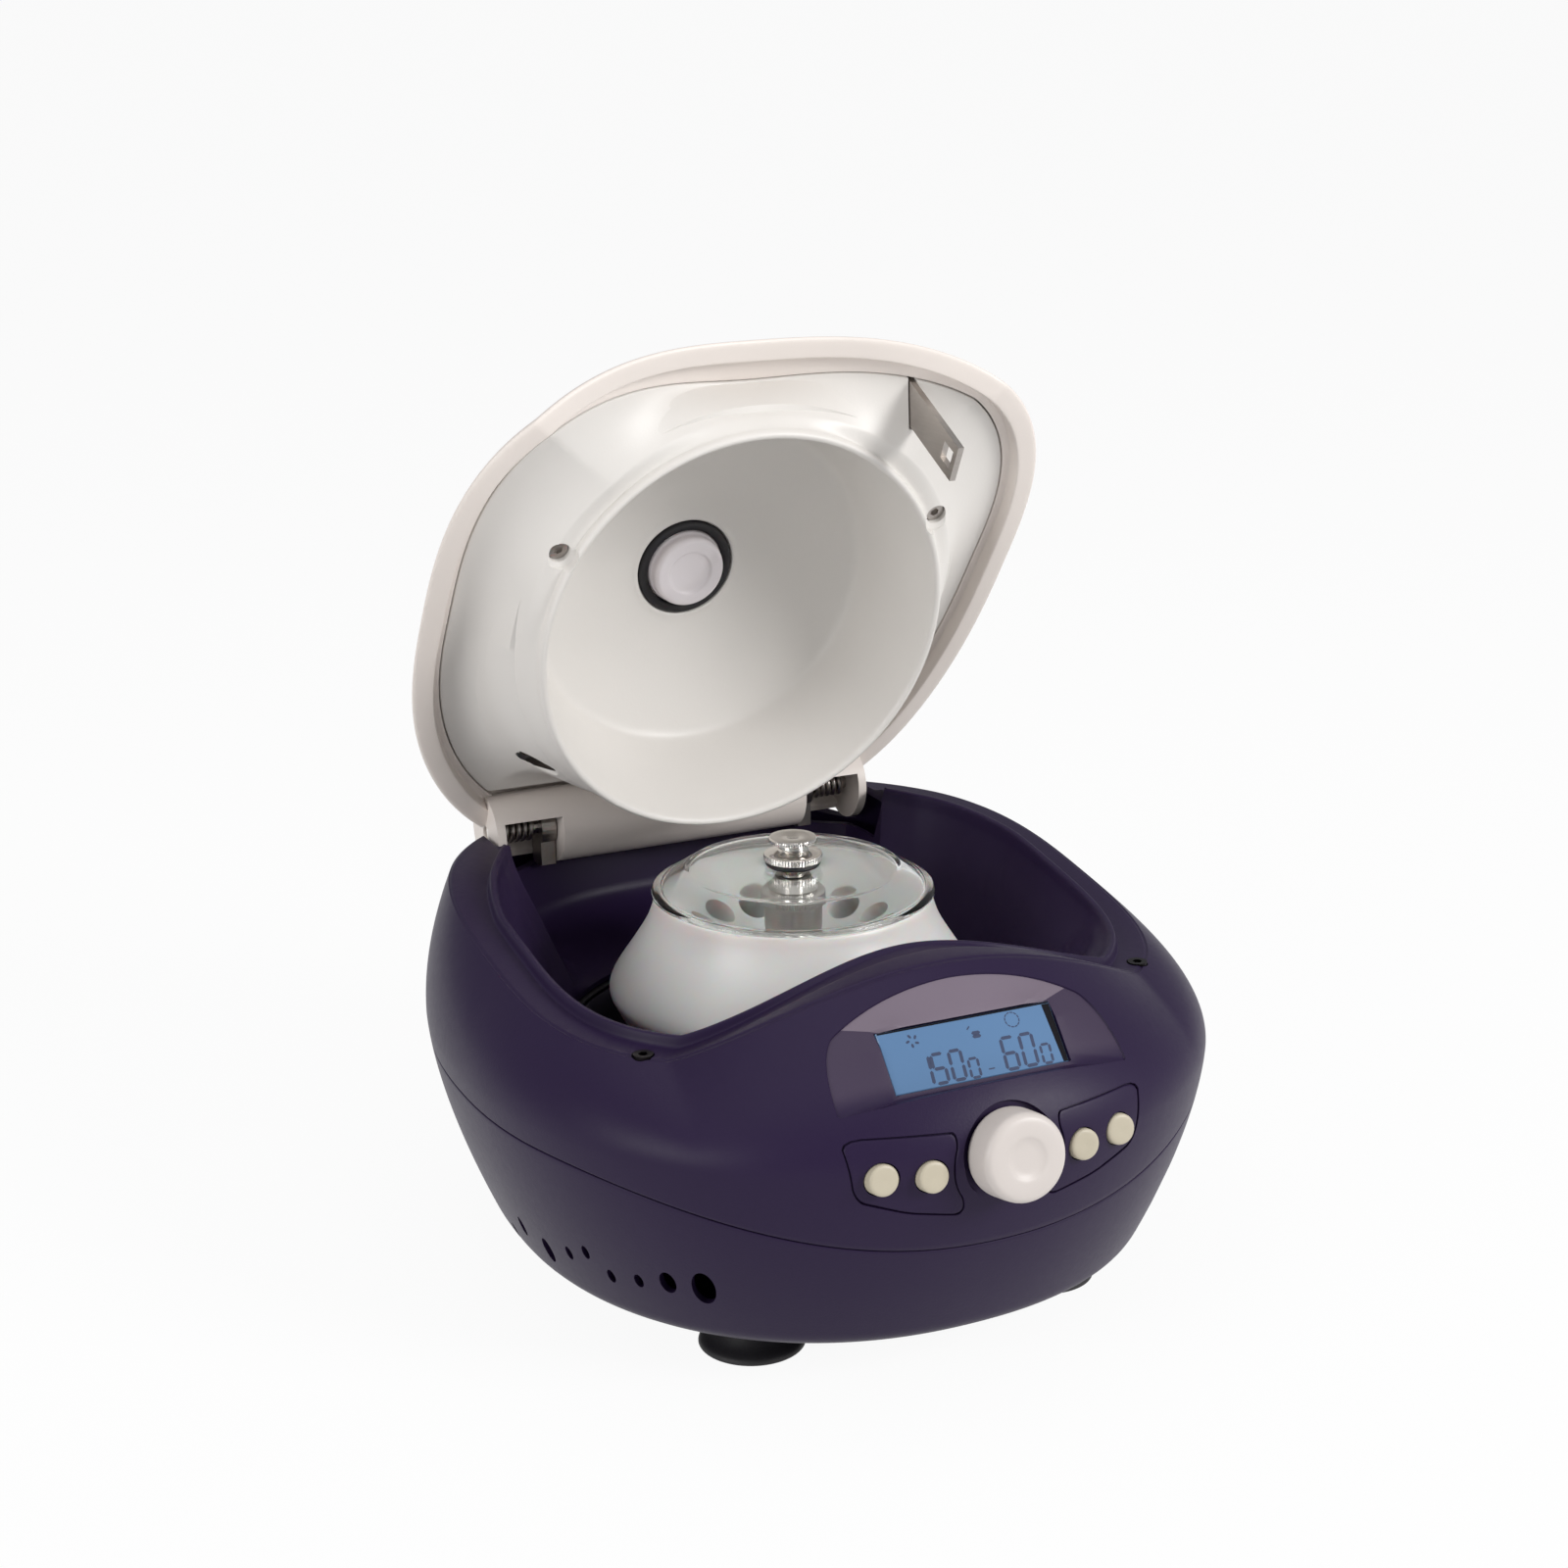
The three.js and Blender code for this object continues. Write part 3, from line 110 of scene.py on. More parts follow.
half = 200.0
bench_mesh = bpy.data.meshes.new("bench")
corners = [(-half, -half, 0), (half, -half, 0), (half, half, 0), (-half, half, 0)]
bench_mesh.from_pydata(corners, [], [(0, 1, 2, 3)])
bench_white = bpy.data.materials.new("bench_white")
seen_white(bench_white, ("Glossy", "Transmission"), 0.93,
           ("BsdfDiffuse", {"Color": (0.82, 0.82, 0.82, 1)}), "Emission", "OutputMaterial")
bench_mesh.materials.append(bench_white)
bench = add_object("bench", bench_mesh)
studio = bpy.data.worlds.new("studio")
seen_white(studio, ("Transmission",), 1.0,
           ("Background", {"Color": (0.97, 0.98, 1.0, 1), "Strength": 0.4}), "Background", "OutputWorld")
scene.world = studio
for name, place, target, size, power in [
        ("soft_box_overhead", (-0.1, -0.1, 1.35), (0, 0.02, 0.1), 1.2, 4.5),
        ("soft_box_left", (-1.3, -0.4, 0.5), (0, 0, 0.12), 0.7, 7.5),
        ("soft_box_right", (1.1, -1.35, 0.95), (0, 0.08, 0.18), 0.7, 26.0)]:
    lamp = bpy.data.lights.new(name, "AREA")
    lamp.shape, lamp.size, lamp.energy = "SQUARE", size, power
    holder = add_object(name, lamp)
    holder.location, holder.rotation_mode = place, "QUATERNION"
    holder.rotation_quaternion = (Vector(target) - Vector(place)).to_track_quat("-Z", "Y")

# Base shell: a tub moulded in deep purple plastic, rounded under its edge and open at the seam.
# Its wall is 2.8 mm thick, and nine oval vents on each side let the motor breathe. All lengths are in
# mm about the rotor axis.
axis_y = 13.46
belly_centre, belly_half, belly_front, belly_rear = np.array([0.0, -14.2]), 117.7, 125.6, 138
front_power, rear_power = 2.18, 2.21
belly_z, tuck_z, floor_z, taper = 77, 22, 11, 0.125
wall, seam_gap, seam_round = 2.8, 0.3, 0.45


def mix(a, b, share):
    """Straight mix of two values."""
    return a + (b - a) * share


def at_height(plan, height):
    """Points from their places in a plane and their heights over it."""
    return np.concatenate([plan, (height + 0 * plan[..., 0])[..., None]], -1)


def full_turn(steps):
    """Equal angles all the way round."""
    return np.linspace(0, math.tau, steps, endpoint=False)


def unit(angle):
    """Points of the unit circle."""
    return np.stack([np.cos(angle), np.sin(angle)], -1)


def egg(angle, half_width, front, rear, powers):
    """A super-ellipse with one reach and power in front and one behind: x and y follow |cos| and
    |sin| to 2/power."""
    c, s = np.cos(angle), np.sin(angle)
    power = 2 / np.where(s < 0, *powers)
    x = half_width * np.sign(c) * np.abs(c) ** power
    y = np.where(s < 0, front, rear) * np.sign(s) * np.abs(s) ** power
    return np.stack([x, y], -1)


def belly(angle):
    """Plan of the housing at its widest height."""
    return egg(angle, belly_half, belly_front, belly_rear, (front_power, rear_power)) + belly_centre


def drawn_in(plan, inset):
    """A plan moved towards the rotor axis by a length."""
    return plan * (1 - np.asarray(inset) / np.linalg.norm(plan, axis=-1))[..., None]


def seam(plan):
    """Height of the seam: level at the sides, and dipping under the panel with the power 2.2."""
    return 70 - 18 * np.clip((-60 - plan[..., 1]) / 76, 0, None) ** 2.2


def flank(angle, height, inset=0.0, share=None):
    """A ring below the belly: the belly plan shrunk about its centre as it goes down."""
    height = height + 0 * angle
    sunk = np.clip((belly_z - height) / (belly_z - tuck_z), 0, 1)
    grow = 1 - taper * sunk ** 1.56 if share is None else share + 0 * angle
    plan = (belly(angle) - belly_centre) * grow[..., None] + belly_centre
    return at_height(drawn_in(plan, inset), height)


def swept_angles(spacing, front_spacing=None):
    """Angles round the housing, evenly spaced in mm along the belly, or finer over the display."""
    fine = np.linspace(-math.pi, math.pi, 40001)
    plan = belly(fine)
    middle = (plan[1:] + plan[:-1]) / 2
    over_display = (middle[:, 1] < -40) & (np.abs(middle[:, 0]) < 56)
    step = np.hypot(*np.diff(plan, axis=0).T) / np.where(over_display, front_spacing or spacing, spacing)
    travelled = np.concatenate([[0], np.cumsum(step)])
    count = int(round(travelled[-1]))
    return np.interp(np.arange(count) * travelled[-1] / count, travelled, fine)


def shell_mesh(name, rings, looped=False):
    """A closed skin through rings of points: quads join the rings, fans close both ends unless it
    is looped, and a negative volume turns all the faces round."""
    rings = np.array(rings)
    rows, columns = rings.shape[:2]
    points = rings.reshape(-1, 3)
    i, j = np.arange(rows if looped else rows - 1)[:, None], np.arange(columns)
    far, above = (j + 1) % columns, (i + 1) % rows * columns
    quads = np.stack([i * columns + j, i * columns + far, above + far, above + j], -1).reshape(-1, 4)
    faces, triangles = quads.tolist(), [quads[:, :3], quads[:, [0, 2, 3]]]
    if not looped:
        points = np.concatenate([points, [rings[0].mean(0), rings[-1].mean(0)]])
        base, end = (rows - 1) * columns, 0 * j + rows * columns
        fans = [np.stack([far, j, end], -1), np.stack([base + j, base + far, end + 1], -1)]
        faces += np.concatenate(fans).tolist()
        triangles += fans
    a, b, c = points[np.concatenate(triangles)].transpose(1, 0, 2)
    if (a * np.cross(b, c)).sum() < 0:
        faces = [face[::-1] for face in faces]
    mesh = bpy.data.meshes.new(name)
    mesh.from_pydata(((points + [0, axis_y, 0]) / 1000).tolist(), [], faces)
    return mesh


def piece(name, rings, looped=False):
    """A new object with the skin through these rings."""
    return add_object(name, shell_mesh(name, rings, looped))


def values_of(items, key="co"):
    """One (x, y, z) value of every vertex or face as an array."""
    values = np.empty(len(items) * 3)
    items.foreach_get(key, values)
    return values.reshape(-1, 3)


def joined(parts, name="tool"):
    """One object from several closed skins that don't touch, given by their rings or as meshes."""
    points, faces, start = [], [], 0
    for part in parts:
        mesh = part if isinstance(part, bpy.types.Mesh) else shell_mesh("part", part)
        points.append(values_of(mesh.vertices))
        faces += [[start + k for k in face.vertices] for face in mesh.polygons]
        start += len(mesh.vertices)
    whole = bpy.data.meshes.new(name)
    whole.from_pydata(np.concatenate(points).tolist(), [], faces)
    return add_object(name, whole)


def carve(thing, *tools, how="DIFFERENCE"):
    """Cuts tools that don't touch one another out of an object, or joins them on."""
    tool = joined(tools)
    work = thing.modifiers.new("carve", "BOOLEAN")
    work.operation, work.solver, work.object = how, "MANIFOLD", tool
    made = bpy.data.meshes.new_from_object(thing.evaluated_get(bpy.context.evaluated_depsgraph_get()))
    thing.modifiers.clear()
    thing.data = made
    bpy.data.objects.remove(tool)


def dress(thing, edge, body, material, slot, *nodes):
    """Smooths a piece, with edges crisp from an angle in degrees on, or leaves it flat at 0. Then
    come its material, its body, the nodes that it stands for and its slot, which is not used."""
    if edge:
        thing.data.shade_smooth()
        thing.data.set_sharp_from_angle(angle=math.radians(edge))
    thing.data.materials.clear()
    thing.data.materials.append(material)
    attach(thing, body)
    if nodes:
        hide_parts(*nodes)


def linear(red, green, blue):
    """The linear value of an 8-bit display colour."""
    share = np.array([red, green, blue]) / 255
    value = np.where(share <= 0.04045, share / 12.92, ((share + 0.055) / 1.055) ** 2.4)
    return (*value.tolist(), 1.0)


def skin_group(name, grey, **numbers):
    """An empty shader group for a colour, a roughness and a height, and its given values."""
    tree = bpy.data.node_groups.new(name, "ShaderNodeTree")
    for label, value in {"Colour": (grey, grey, grey, 1), **numbers}.items():
        kind = "NodeSocketColor" if label == "Colour" else "NodeSocketFloat"
        tree.interface.new_socket(name=label, in_out="INPUT", socket_type=kind).default_value = value
    for label, kind in (("Colour", "Color"), ("Roughness", "Float"), ("Height", "Float")):
        tree.interface.new_socket(name=label, in_out="OUTPUT", socket_type="NodeSocket" + kind)
    return tree, tree.nodes.new("NodeGroupInput").outputs


def vary(tree, given, lift, swing, height):
    """A group's last step: colour times lift, roughness plus swing times spread, and height."""
    fill(tree, tree.nodes.new("NodeGroupOutput"), {
        "Colour": node(tree, "VectorMath", {0: given["Colour"], "Scale": lift}, operation="SCALE"),
        "Roughness": maths(tree, "MULTIPLY_ADD", swing, given["Spread"], given["Roughness"]),
        "Height": height})


# moulded skin: a broad cloudiness in the colour, and a fine spark-eroded grain in height and roughness
tree, given = skin_group("moulded_skin", 0.5, Cloud=0.06, Grain=1500.0, Roughness=0.5, Spread=0.08)
moulded_skin, place = tree, node(tree, "TexCoord").outputs["Object"]
cloud = node(tree, "TexNoise", {"Vector": place, "Scale": 14.0, "Detail": 3.0})
grain = {"Vector": place, "Scale": given["Grain"], "Detail": 4.0, "Roughness": 0.65}
speck = node(tree, "TexNoise", {"Vector": place, "Scale": 420.0})
span = {"From Min": 0.3, "From Max": 0.7, "To Min": -1.0, "To Max": 1.0}
lift = maths(tree, "MULTIPLY_ADD", node(tree, "MapRange", {"Value": cloud, **span}), given["Cloud"], 1.0)
vary(tree, given, lift, maths(tree, "SUBTRACT", speck, 0.5), node(tree, "TexNoise", grain))


def finish(name, group, colour, given, depth, own):
    """A material with colour and roughness from a group, and bump where it has a depth in metres.
    Its own values are set on the shader."""
    material = bpy.data.materials.new(name)
    material.use_nodes = True
    tree = material.node_tree
    skin = node(tree, "Group", {"Colour": linear(*colour), **given}, node_tree=group, name="skin")
    own = {"Base Color": skin, "Roughness": skin.outputs["Roughness"], **own}
    if depth:
        own["Normal"] = node(tree, "Bump", {"Distance": depth, "Height": skin.outputs["Height"]})
    fill(tree, tree.nodes["Principled BSDF"], own)
    return material


def plastic(name, colour, roughness, cloud=0.05, grain=1500.0, depth=0.00003, spread=0.08, own={}):
    """A moulded plastic or rubber."""
    given = {"Cloud": cloud, "Grain": grain, "Roughness": roughness, "Spread": spread}
    return finish(name, moulded_skin, colour, given, depth, own)


def purple_plastic(name):
    """The deep purple of the base and the housing, with little gloss."""
    return plastic(name, purple_tone, 0.42, grain=1300.0, depth=0.00004,
                   own={"Specular IOR Level": 0.17})


purple_tone = (37, 25, 54)
purple = purple_plastic("purple_plastic")
turn = swept_angles(3.0)
rows = [flank(turn, tuck_z - (tuck_z - floor_z) * t, 0, 1 - taper - 0.039 * t - 0.126 * t ** 4.34)
        for t in np.linspace(1, 0, 12)]
top = seam(belly(turn)) - seam_gap
rows += [flank(turn, mix(tuck_z, top - seam_round, k)) for k in np.linspace(0, 1, 32)[1:]]
rows += [flank(turn, top - seam_round * (1 - math.sin(q)), seam_round * (1 - math.cos(q)))
         for q in np.linspace(0, math.pi / 2, 5)[1:]]
rows += [flank(turn, top, wall)]
rows += [flank(turn, mix(tuck_z, top, k), wall) for k in np.linspace(1, 0, 9)[1:]]
rows += [flank(turn, floor_z + wall, wall, 0.815)]
base_shell = piece("base_shell", rows)


def oval(x, y, z, width, height, reach=18.0):
    """An oval rod that points outwards from the middle of the belly."""
    out = np.array([x, y - belly_centre[1], 0.0])
    out /= np.linalg.norm(out)
    side = np.array([-out[1], out[0], 0.0])
    q = full_turn(32)[:, None]
    rim = np.cos(q) * side * width / 2 + np.sin(q) * np.array([0, 0, height / 2])
    return rim[None] + np.array([x, y, z]) + np.array([-reach, reach])[:, None, None] * out


def rectangle(x0, x1, y0, y1):
    """Four corners in order."""
    return np.array([(x0, y0), (x1, y0), (x1, y1), (x0, y1)], float)


def block(x0, x1, y0, y1, z0, z1):
    """A plain block between two corners."""
    return [at_height(rectangle(x0, x1, y0, y1), z) for z in (z0, z1)]


vents = [(-13, 20, 3.2, 7.5), (-30, 30, 3.6, 7), (-46, 28, 5, 9), (-60, 33, 3, 5), (-69, 37, 3, 5),
         (-77, 31, 3, 5), (-87, 33, 3.2, 5), (-96, 35.5, 5.4, 8), (-105, 36, 7.4, 12)]
low_share = 0.97
ovals = []
for y, z, width, height in vents:
    behind = y - belly_centre[1]
    reach, power = (belly_front, front_power) if behind < 0 else (belly_rear, rear_power)
    across = belly_half * low_share * (1 - abs(behind / (reach * low_share)) ** power) ** (1 / power)
    ovals += [oval(side * across, y, z, width, height) for side in (-1, 1)]
carve(base_shell, *ovals)
inlet_x, switch_x = (-36.1, -7.9), (12.7, 27.3)
carve(base_shell, *(block(*span, 93.5, 157.5, 33.5, 54.5) for span in (inlet_x, switch_x)))
dress(base_shell, 32, "base", purple, "purple_plastic", "lower_shell")

# Feet: four cups of soft black rubber with a flared lip, pushed on to studs under the base shell.
# The lip is thin, so its edge is rounded, and the waist above it is concave.
def lathe(profile, steps, centre=(0.0, 0.0)):
    """A profile of (radius, height) turned about a vertical axis."""
    r, z = np.array(profile, float).T[:, :, None]
    return at_height(centre + r[..., None] * unit(full_turn(steps)), z)


def rounded(points, rounds=2, closed=False):
    """Corner cutting: each round replaces a corner by two points at a quarter of its sides."""
    points = np.asarray(points, float)
    for _ in range(rounds):
        ahead = np.roll(points, -1, 0)
        cut = np.stack([0.75 * points + 0.25 * ahead, 0.25 * points + 0.75 * ahead], 1)
        cut = cut.reshape(-1, *points.shape[1:])
        points = cut if closed else np.concatenate([points[:1], cut[:-2], points[-1:]])
    return points


rubber = plastic("black_rubber", (22, 20, 24), 0.58, cloud=0.12, grain=900.0, depth=0.00006, spread=0.16)
cup = rounded([
    (0, 0.9), (11, 0.9), (12.8, 0), (15.3, 0), (16.3, 0.35), (16.3, 1.2), (15.7, 2.2), (12.6, 3.8),
    (10.4, 6.2), (9.9, 8.2), (10, 10.7), (0, 10.7)])
cup[0, 0] = cup[-1, 0] = 0.01
for number, stud in enumerate([(-50.5, -75), (50.5, -75), (-50.5, 58), (50.5, 58)], 1):
    foot = piece(f"rubber_cup_{number}", lathe(cup, 72, stud))
    dress(foot, 50, "base", rubber, "black_rubber", f"foot_{number}")

# Upper housing: one purple moulding that carries everything. From the seam its wall curves in to the
# rim, then come a shelf for the lid's edge, a raised ridge, and the recess down to the chamber.
mouth_radius, mouth_z, arch_step = 74, 70, 2.8


def rim(angle, front=97):
    """Plan of the lid opening's outer edge."""
    return egg(angle, 102.6, front, 116, (3, 2.5))


def arch(plan):
    """Share of the arch over the display: one in the middle of the front, zero beyond 78 mm."""
    return np.where(plan[..., 1] < 0, np.clip(1 - (plan[..., 0] / 78) ** 2, 0, None) ** 1.1, 0)


def rim_height(plan):
    """Height of the rim: a sine swing from front to back, and the arch."""
    swing = np.sin(np.clip((plan[..., 1] + 5) / 78, -1, 1) * math.pi / 2)
    return 106.3 + 7.4 * swing + 22.7 * arch(plan)


def shoulder(angle, share, inset=0.0, drop=0.0):
    """A ring of the shoulder: plan from belly to rim with the share squared, height with it."""
    low, high = belly(angle), rim(angle)
    share = share + 0 * angle
    plan = drawn_in(low + (high - low) * (share ** 2)[..., None], inset)
    return at_height(plan, belly_z + (rim_height(high) - belly_z) * share - drop)


def rim_ring(angle, inset, rise=0.0):
    """A ring that keeps to the rim, further in by an inset and higher by a rise."""
    return at_height(drawn_in(rim(angle), inset), rim_height(rim(angle)) + rise)


def stretch(y, start, run):
    """Share of the way along y from start, kept between zero and one."""
    return np.clip((y - start) / run, 0, 1)


turn = swept_angles(2.8, 0.62)
edge, foot = rim(turn), seam(belly(turn))
arched, far_back = arch(edge), stretch(edge[:, 1], 84, 12)
shelf = mix(mix(9, 14.4, stretch(edge[:, 1], 20, 50)), 3, far_back) + 10 * arched
ridge = mix(3.4, 0.9, np.maximum(arched, far_back)) - arch_step * arched
lip, step_down = 1.8 + 7.6 * arched, -arch_step * arched
crest = drawn_in(edge, shelf + 3)


def recess(height_share, side, front, behind, out=0.0, drop=0.0):
    """A ring of the recess wall, part of the way in to the chamber mouth and part of the way down."""
    pull = mix(mix(side, front, stretch(-edge[:, 1], 40, 40)), behind, far_back)
    plan = crest + (mouth_radius * unit(turn) - crest) * pull[:, None]
    height = mix(rim_height(edge) + ridge, mouth_z, height_share) - drop
    return at_height(drawn_in(plan, -out), height)


skin_rows = np.array([
    flank(turn, foot, seam_round), flank(turn, foot + 0.13, 0.13), flank(turn, foot + seam_round),
    *(flank(turn, mix(foot, belly_z, k)) for k in np.linspace(0, 1, 14)[1:-1]),
    *(shoulder(turn, k) for k in np.linspace(0, 0.985, 86))])
brow_rows = rounded([
    skin_rows[-1], *(rim_ring(turn, *by) for by in [
        (0.1, -0.5), (0.7, 0), (lip - 0.5, 0), (lip + 0.3, -0.5 * arched), (lip + 0.5, step_down),
        (lip + 1.2, step_down), (shelf - 1, step_down), (shelf, step_down + 0.1),
        (shelf + 0.6, ridge - 0.5), (shelf + 1, ridge), (shelf + 2, ridge), (shelf + 2.9, ridge - 0.4)]),
    *(recess(*way) for way in [
        (0.06, 0.01, 0.1, 0.01), (0.12, 0.03, 0.3, 0.02), (0.27, 0.16, 0.48, 0.05),
        (0.42, 0.34, 0.62, 0.08), (0.58, 0.52, 0.75, 0.12), (0.75, 0.7, 0.86, 0.16),
        (0.9, 0.88, 0.95, 0.6), (1, 1, 1, 1), (1, 1, 1, 1, 0, wall)])])
back_rows = np.array([
    recess(1, 1, 1, 1, wall, wall), recess(0.75, 0.7, 0.86, 0.16, wall, wall / 2),
    recess(0.42, 0.34, 0.62, 0.08, wall, wall / 2),
    rim_ring(turn, shelf + 2.2, -wall), rim_ring(turn, lip, -wall),
    *(shoulder(turn, k, wall, 0.8 * k) for k in np.linspace(0.95, 0, 40)),
    *(flank(turn, mix(belly_z, foot, k), wall) for k in np.linspace(0, 1, 5)[1:])])


class Face:
    """A leaning face: points as (across, up the slope, out of it), in turn from the first on."""
    def __init__(self, origin, slope, first=0):
        c, s = math.cos(math.radians(slope)), math.sin(math.radians(slope))
        self.origin = np.array(origin, float)
        self.axes = np.roll([[1, 0, 0], [0, c, s], [0, -s, c]], -first, 0)

    def into(self, points):
        return (points - self.origin) @ self.axes.T

    def out_of(self, local):
        return np.array(local) @ self.axes + self.origin


display, panel = Face((0, -123.4, 95.4), 47.9), Face((0, -139.5, 77), 78)


def smooth_share(value):
    """Rises from zero to one with flat ends."""
    value = np.clip(value, 0, 1)
    return value * value * (3 - 2 * value)


def inside_by(local, outline):
    """How far a point lies inside a closed outline, negative outside it."""
    a, b = outline, np.roll(outline, -1, 0)
    p, along = local[:, None, :2] - a, b - a
    t = np.clip((p * along).sum(-1) / (along ** 2).sum(-1), 0, 1)
    distance = np.linalg.norm(p - along * t[..., None], axis=-1).min(1)
    x, y, (x0, y0), (x1, y1) = local[:, None, 0], local[:, None, 1], a.T, b.T
    at = x0 + (y - y0) / np.where(y1 == y0, 1, y1 - y0) * (x1 - x0)
    crossed = ((y0 > y) != (y1 > y)) & (x < at)
    return np.where(crossed.sum(1) % 2 == 1, distance, -distance)


def curve_through(start, pieces, steps=14):
    """An outline from lines and quadratic curves, each given by its end or its control and end."""
    points, here = [], np.array(start, float)
    for stops in pieces:
        *control, end = np.array(stops, float)
        t = np.linspace(0, 1, steps if control else 2, endpoint=False)[:, None]
        middle = control[0] if control else (here + end) / 2
        points.append((1 - t) ** 2 * here + 2 * t * (1 - t) * middle + t ** 2 * end)
        here = end
    return np.concatenate(points)


def skin_height(face, around):
    """How far the bare housing stands out of a face round a box: a plane is laid through the twelve
    nearest points of the skin, with weights that fall as exp(-distance squared / 4)."""
    low, high = np.reshape(around, (2, 2)).T
    skin = face.into(skin_rows.reshape(-1, 3))
    skin = skin[((skin[:, :2] > low - 5) & (skin[:, :2] < high + 5)).all(1) & (skin[:, 2] > -20)]

    def height(flat):
        heights = []
        for part in np.array_split(flat, len(flat) // 400 + 1):
            distance = ((part[:, None] - skin[None, :, :2]) ** 2).sum(-1)
            order = np.argpartition(distance, 12, axis=1)[:, :12]
            close, share = skin[order], np.exp(-np.take_along_axis(distance, order, 1) / 4) + 1e-6
            terms = np.concatenate([close[..., :2] - part[:, None], np.ones((*order.shape, 1))], -1)
            square = np.einsum("nki,nk,nkj->nij", terms, share, terms) + 1e-9 * np.eye(3)
            sums = np.einsum("nki,nk,nk->ni", terms, share, close[..., 2])
            heights.append(np.linalg.solve(square, sums[..., None])[:, 2, 0])
        return np.concatenate(heights)

    return height


pocket_outline = rounded(curve_through((-46, -3.4), [
    [(46, -3.4)], [(45.5, 14.3), (39.6, 20.5)], [(23, 30.5), (0, 31)], [(-23, 30.5), (-39.6, 20.5)],
    [(-45.5, 14.3), (-46, -3.4)]]), 1, closed=True)
display_skin = skin_height(display, (-47, 47, -6, 33))
window, window_half = np.array([0.0, 9.3]), np.array([29.2, 10.7])
knob_place, button_hole = (0, 1.8), 4.95
button_places = [(-37.9, 0.6), (-24.1, -0.6), (24.1, -0.6), (37.9, 0.6)]


def press_in(points, face, outline, depth_of):
    """Presses an outline into the skin: points inside move down along the face's axis to their new
    height, over an edge of one millimetre."""
    local = face.into(points)
    near = ((local[:, :2] > outline.min(0) - 1) & (local[:, :2] < outline.max(0) + 1)).all(1)
    near &= (points[:, 1] < -60) & (local[:, 2] > -16)
    picked = local[near]
    fall = np.minimum(depth_of(picked) - picked[:, 2], 0)
    picked[:, 2] += smooth_share(inside_by(picked, outline)) * fall
    moved = points.copy()
    moved[near] = face.out_of(picked)
    return moved


def pocket_tool():
    """The room of the display pocket: its floor falls from the window in four creased facets to a
    step under the outline."""
    bearing = np.linspace(-math.pi, math.pi, 361)[:-1]
    ahead = np.roll(pocket_outline, -1, 0)
    edge = np.stack([mix(pocket_outline, ahead, k) for k in np.linspace(0, 1, 41)[:-1]], 1)
    edge = edge.reshape(-1, 2)
    edge_bearing = np.arctan2(*(edge - window).T[::-1])
    order = np.argsort(edge_bearing)
    reach = np.linalg.norm(edge - window, axis=1)[order]
    reach = np.interp(bearing, edge_bearing[order], reach, period=math.tau)
    ray = unit(bearing)
    far = window + ray * reach[:, None]
    near = window + ray * (window_half / np.maximum(np.abs(ray), 1e-6)).min(1)[:, None]
    skin, sill = display_skin(far), np.minimum(0.3, display_skin(near) - 1.1)
    rows = [at_height(mix(window, near, 0.02), 0.0), at_height(near, sill)]
    rows += [at_height(mix(near, far, k), mix(sill, skin - 0.6, k)) for k in np.linspace(0, 1, 7)[1:]]
    rows += [at_height(far + ray * out, height) for out, height in
             [(0.3, skin - 0.2), (0.7, skin + 0.1), (1.1, skin + 0.8), (1.1, 24)]]
    return display.out_of(rows)


def plate_outline(side, g=0.0):
    """The inlay round two buttons, larger by g: straight above, bowed towards the knob, tapering."""
    outline = curve_through((47.5 + g, 12.4 + g), [
        [(18 - g, 10.4 + g)], [(16 - g, 10.2 + g), (16.6 - g, 6)], [(19.5 - g, -2), (14.6 - g, -9)],
        [(12.6 - g, -14.2 - g), (17 - g, -13.6 - g)], [(30, -10.8 - g)], [(42 + g, -6 - g)],
        [(44.5 + g, -4.6), (45.4 + g, -1)], [(47.5 + g, 12.4 + g)]], 10)
    return rounded(outline, closed=True) * [side, 1]


def plate_rings(side, layers, skin_at=None):
    """A skin round two buttons. A layer is the plate's outline grown by a length, at a depth under
    the housing's skin (there, or at the outline grown by skin_at), for each share of the way out."""
    height_at = skin_height(panel, (*sorted((side * 12.0, side * 48.5)), -15, 13))
    middle, rows = np.array([side * 30.0, 0.5]), []
    for grow, depth, shares in layers:
        over = plate_outline(side, grow if skin_at is None else skin_at)
        for k in shares:
            height = height_at(mix(middle, over, k)) - depth
            rows.append(at_height(mix(middle, plate_outline(side, grow), k), height))
    return panel.out_of(rows)


def rod_on(face, radius, place, low, high, steps=48):
    """A plain rod that stands on a face."""
    return face.out_of(lathe([(radius, low), (radius, high)], steps, place))


def round_hinge(x, radius, angle):
    """Points round the hinge line."""
    y, z = hinge_y + radius * np.cos(angle), hinge_z + radius * np.sin(angle)
    return np.stack([x + 0 * angle, y, z], -1)


def hinge_rod(radius, x0, x1, steps=64):
    """A plain rod that lies on the hinge line."""
    return [round_hinge(x, radius, full_turn(steps)) for x in (x0, x1)]


def shaped(rings, other, how):
    """The mesh of a tool that is made from two plain ones."""
    tool = joined([rings])
    carve(tool, other, how=how)
    mesh = tool.data
    bpy.data.objects.remove(tool)
    return mesh


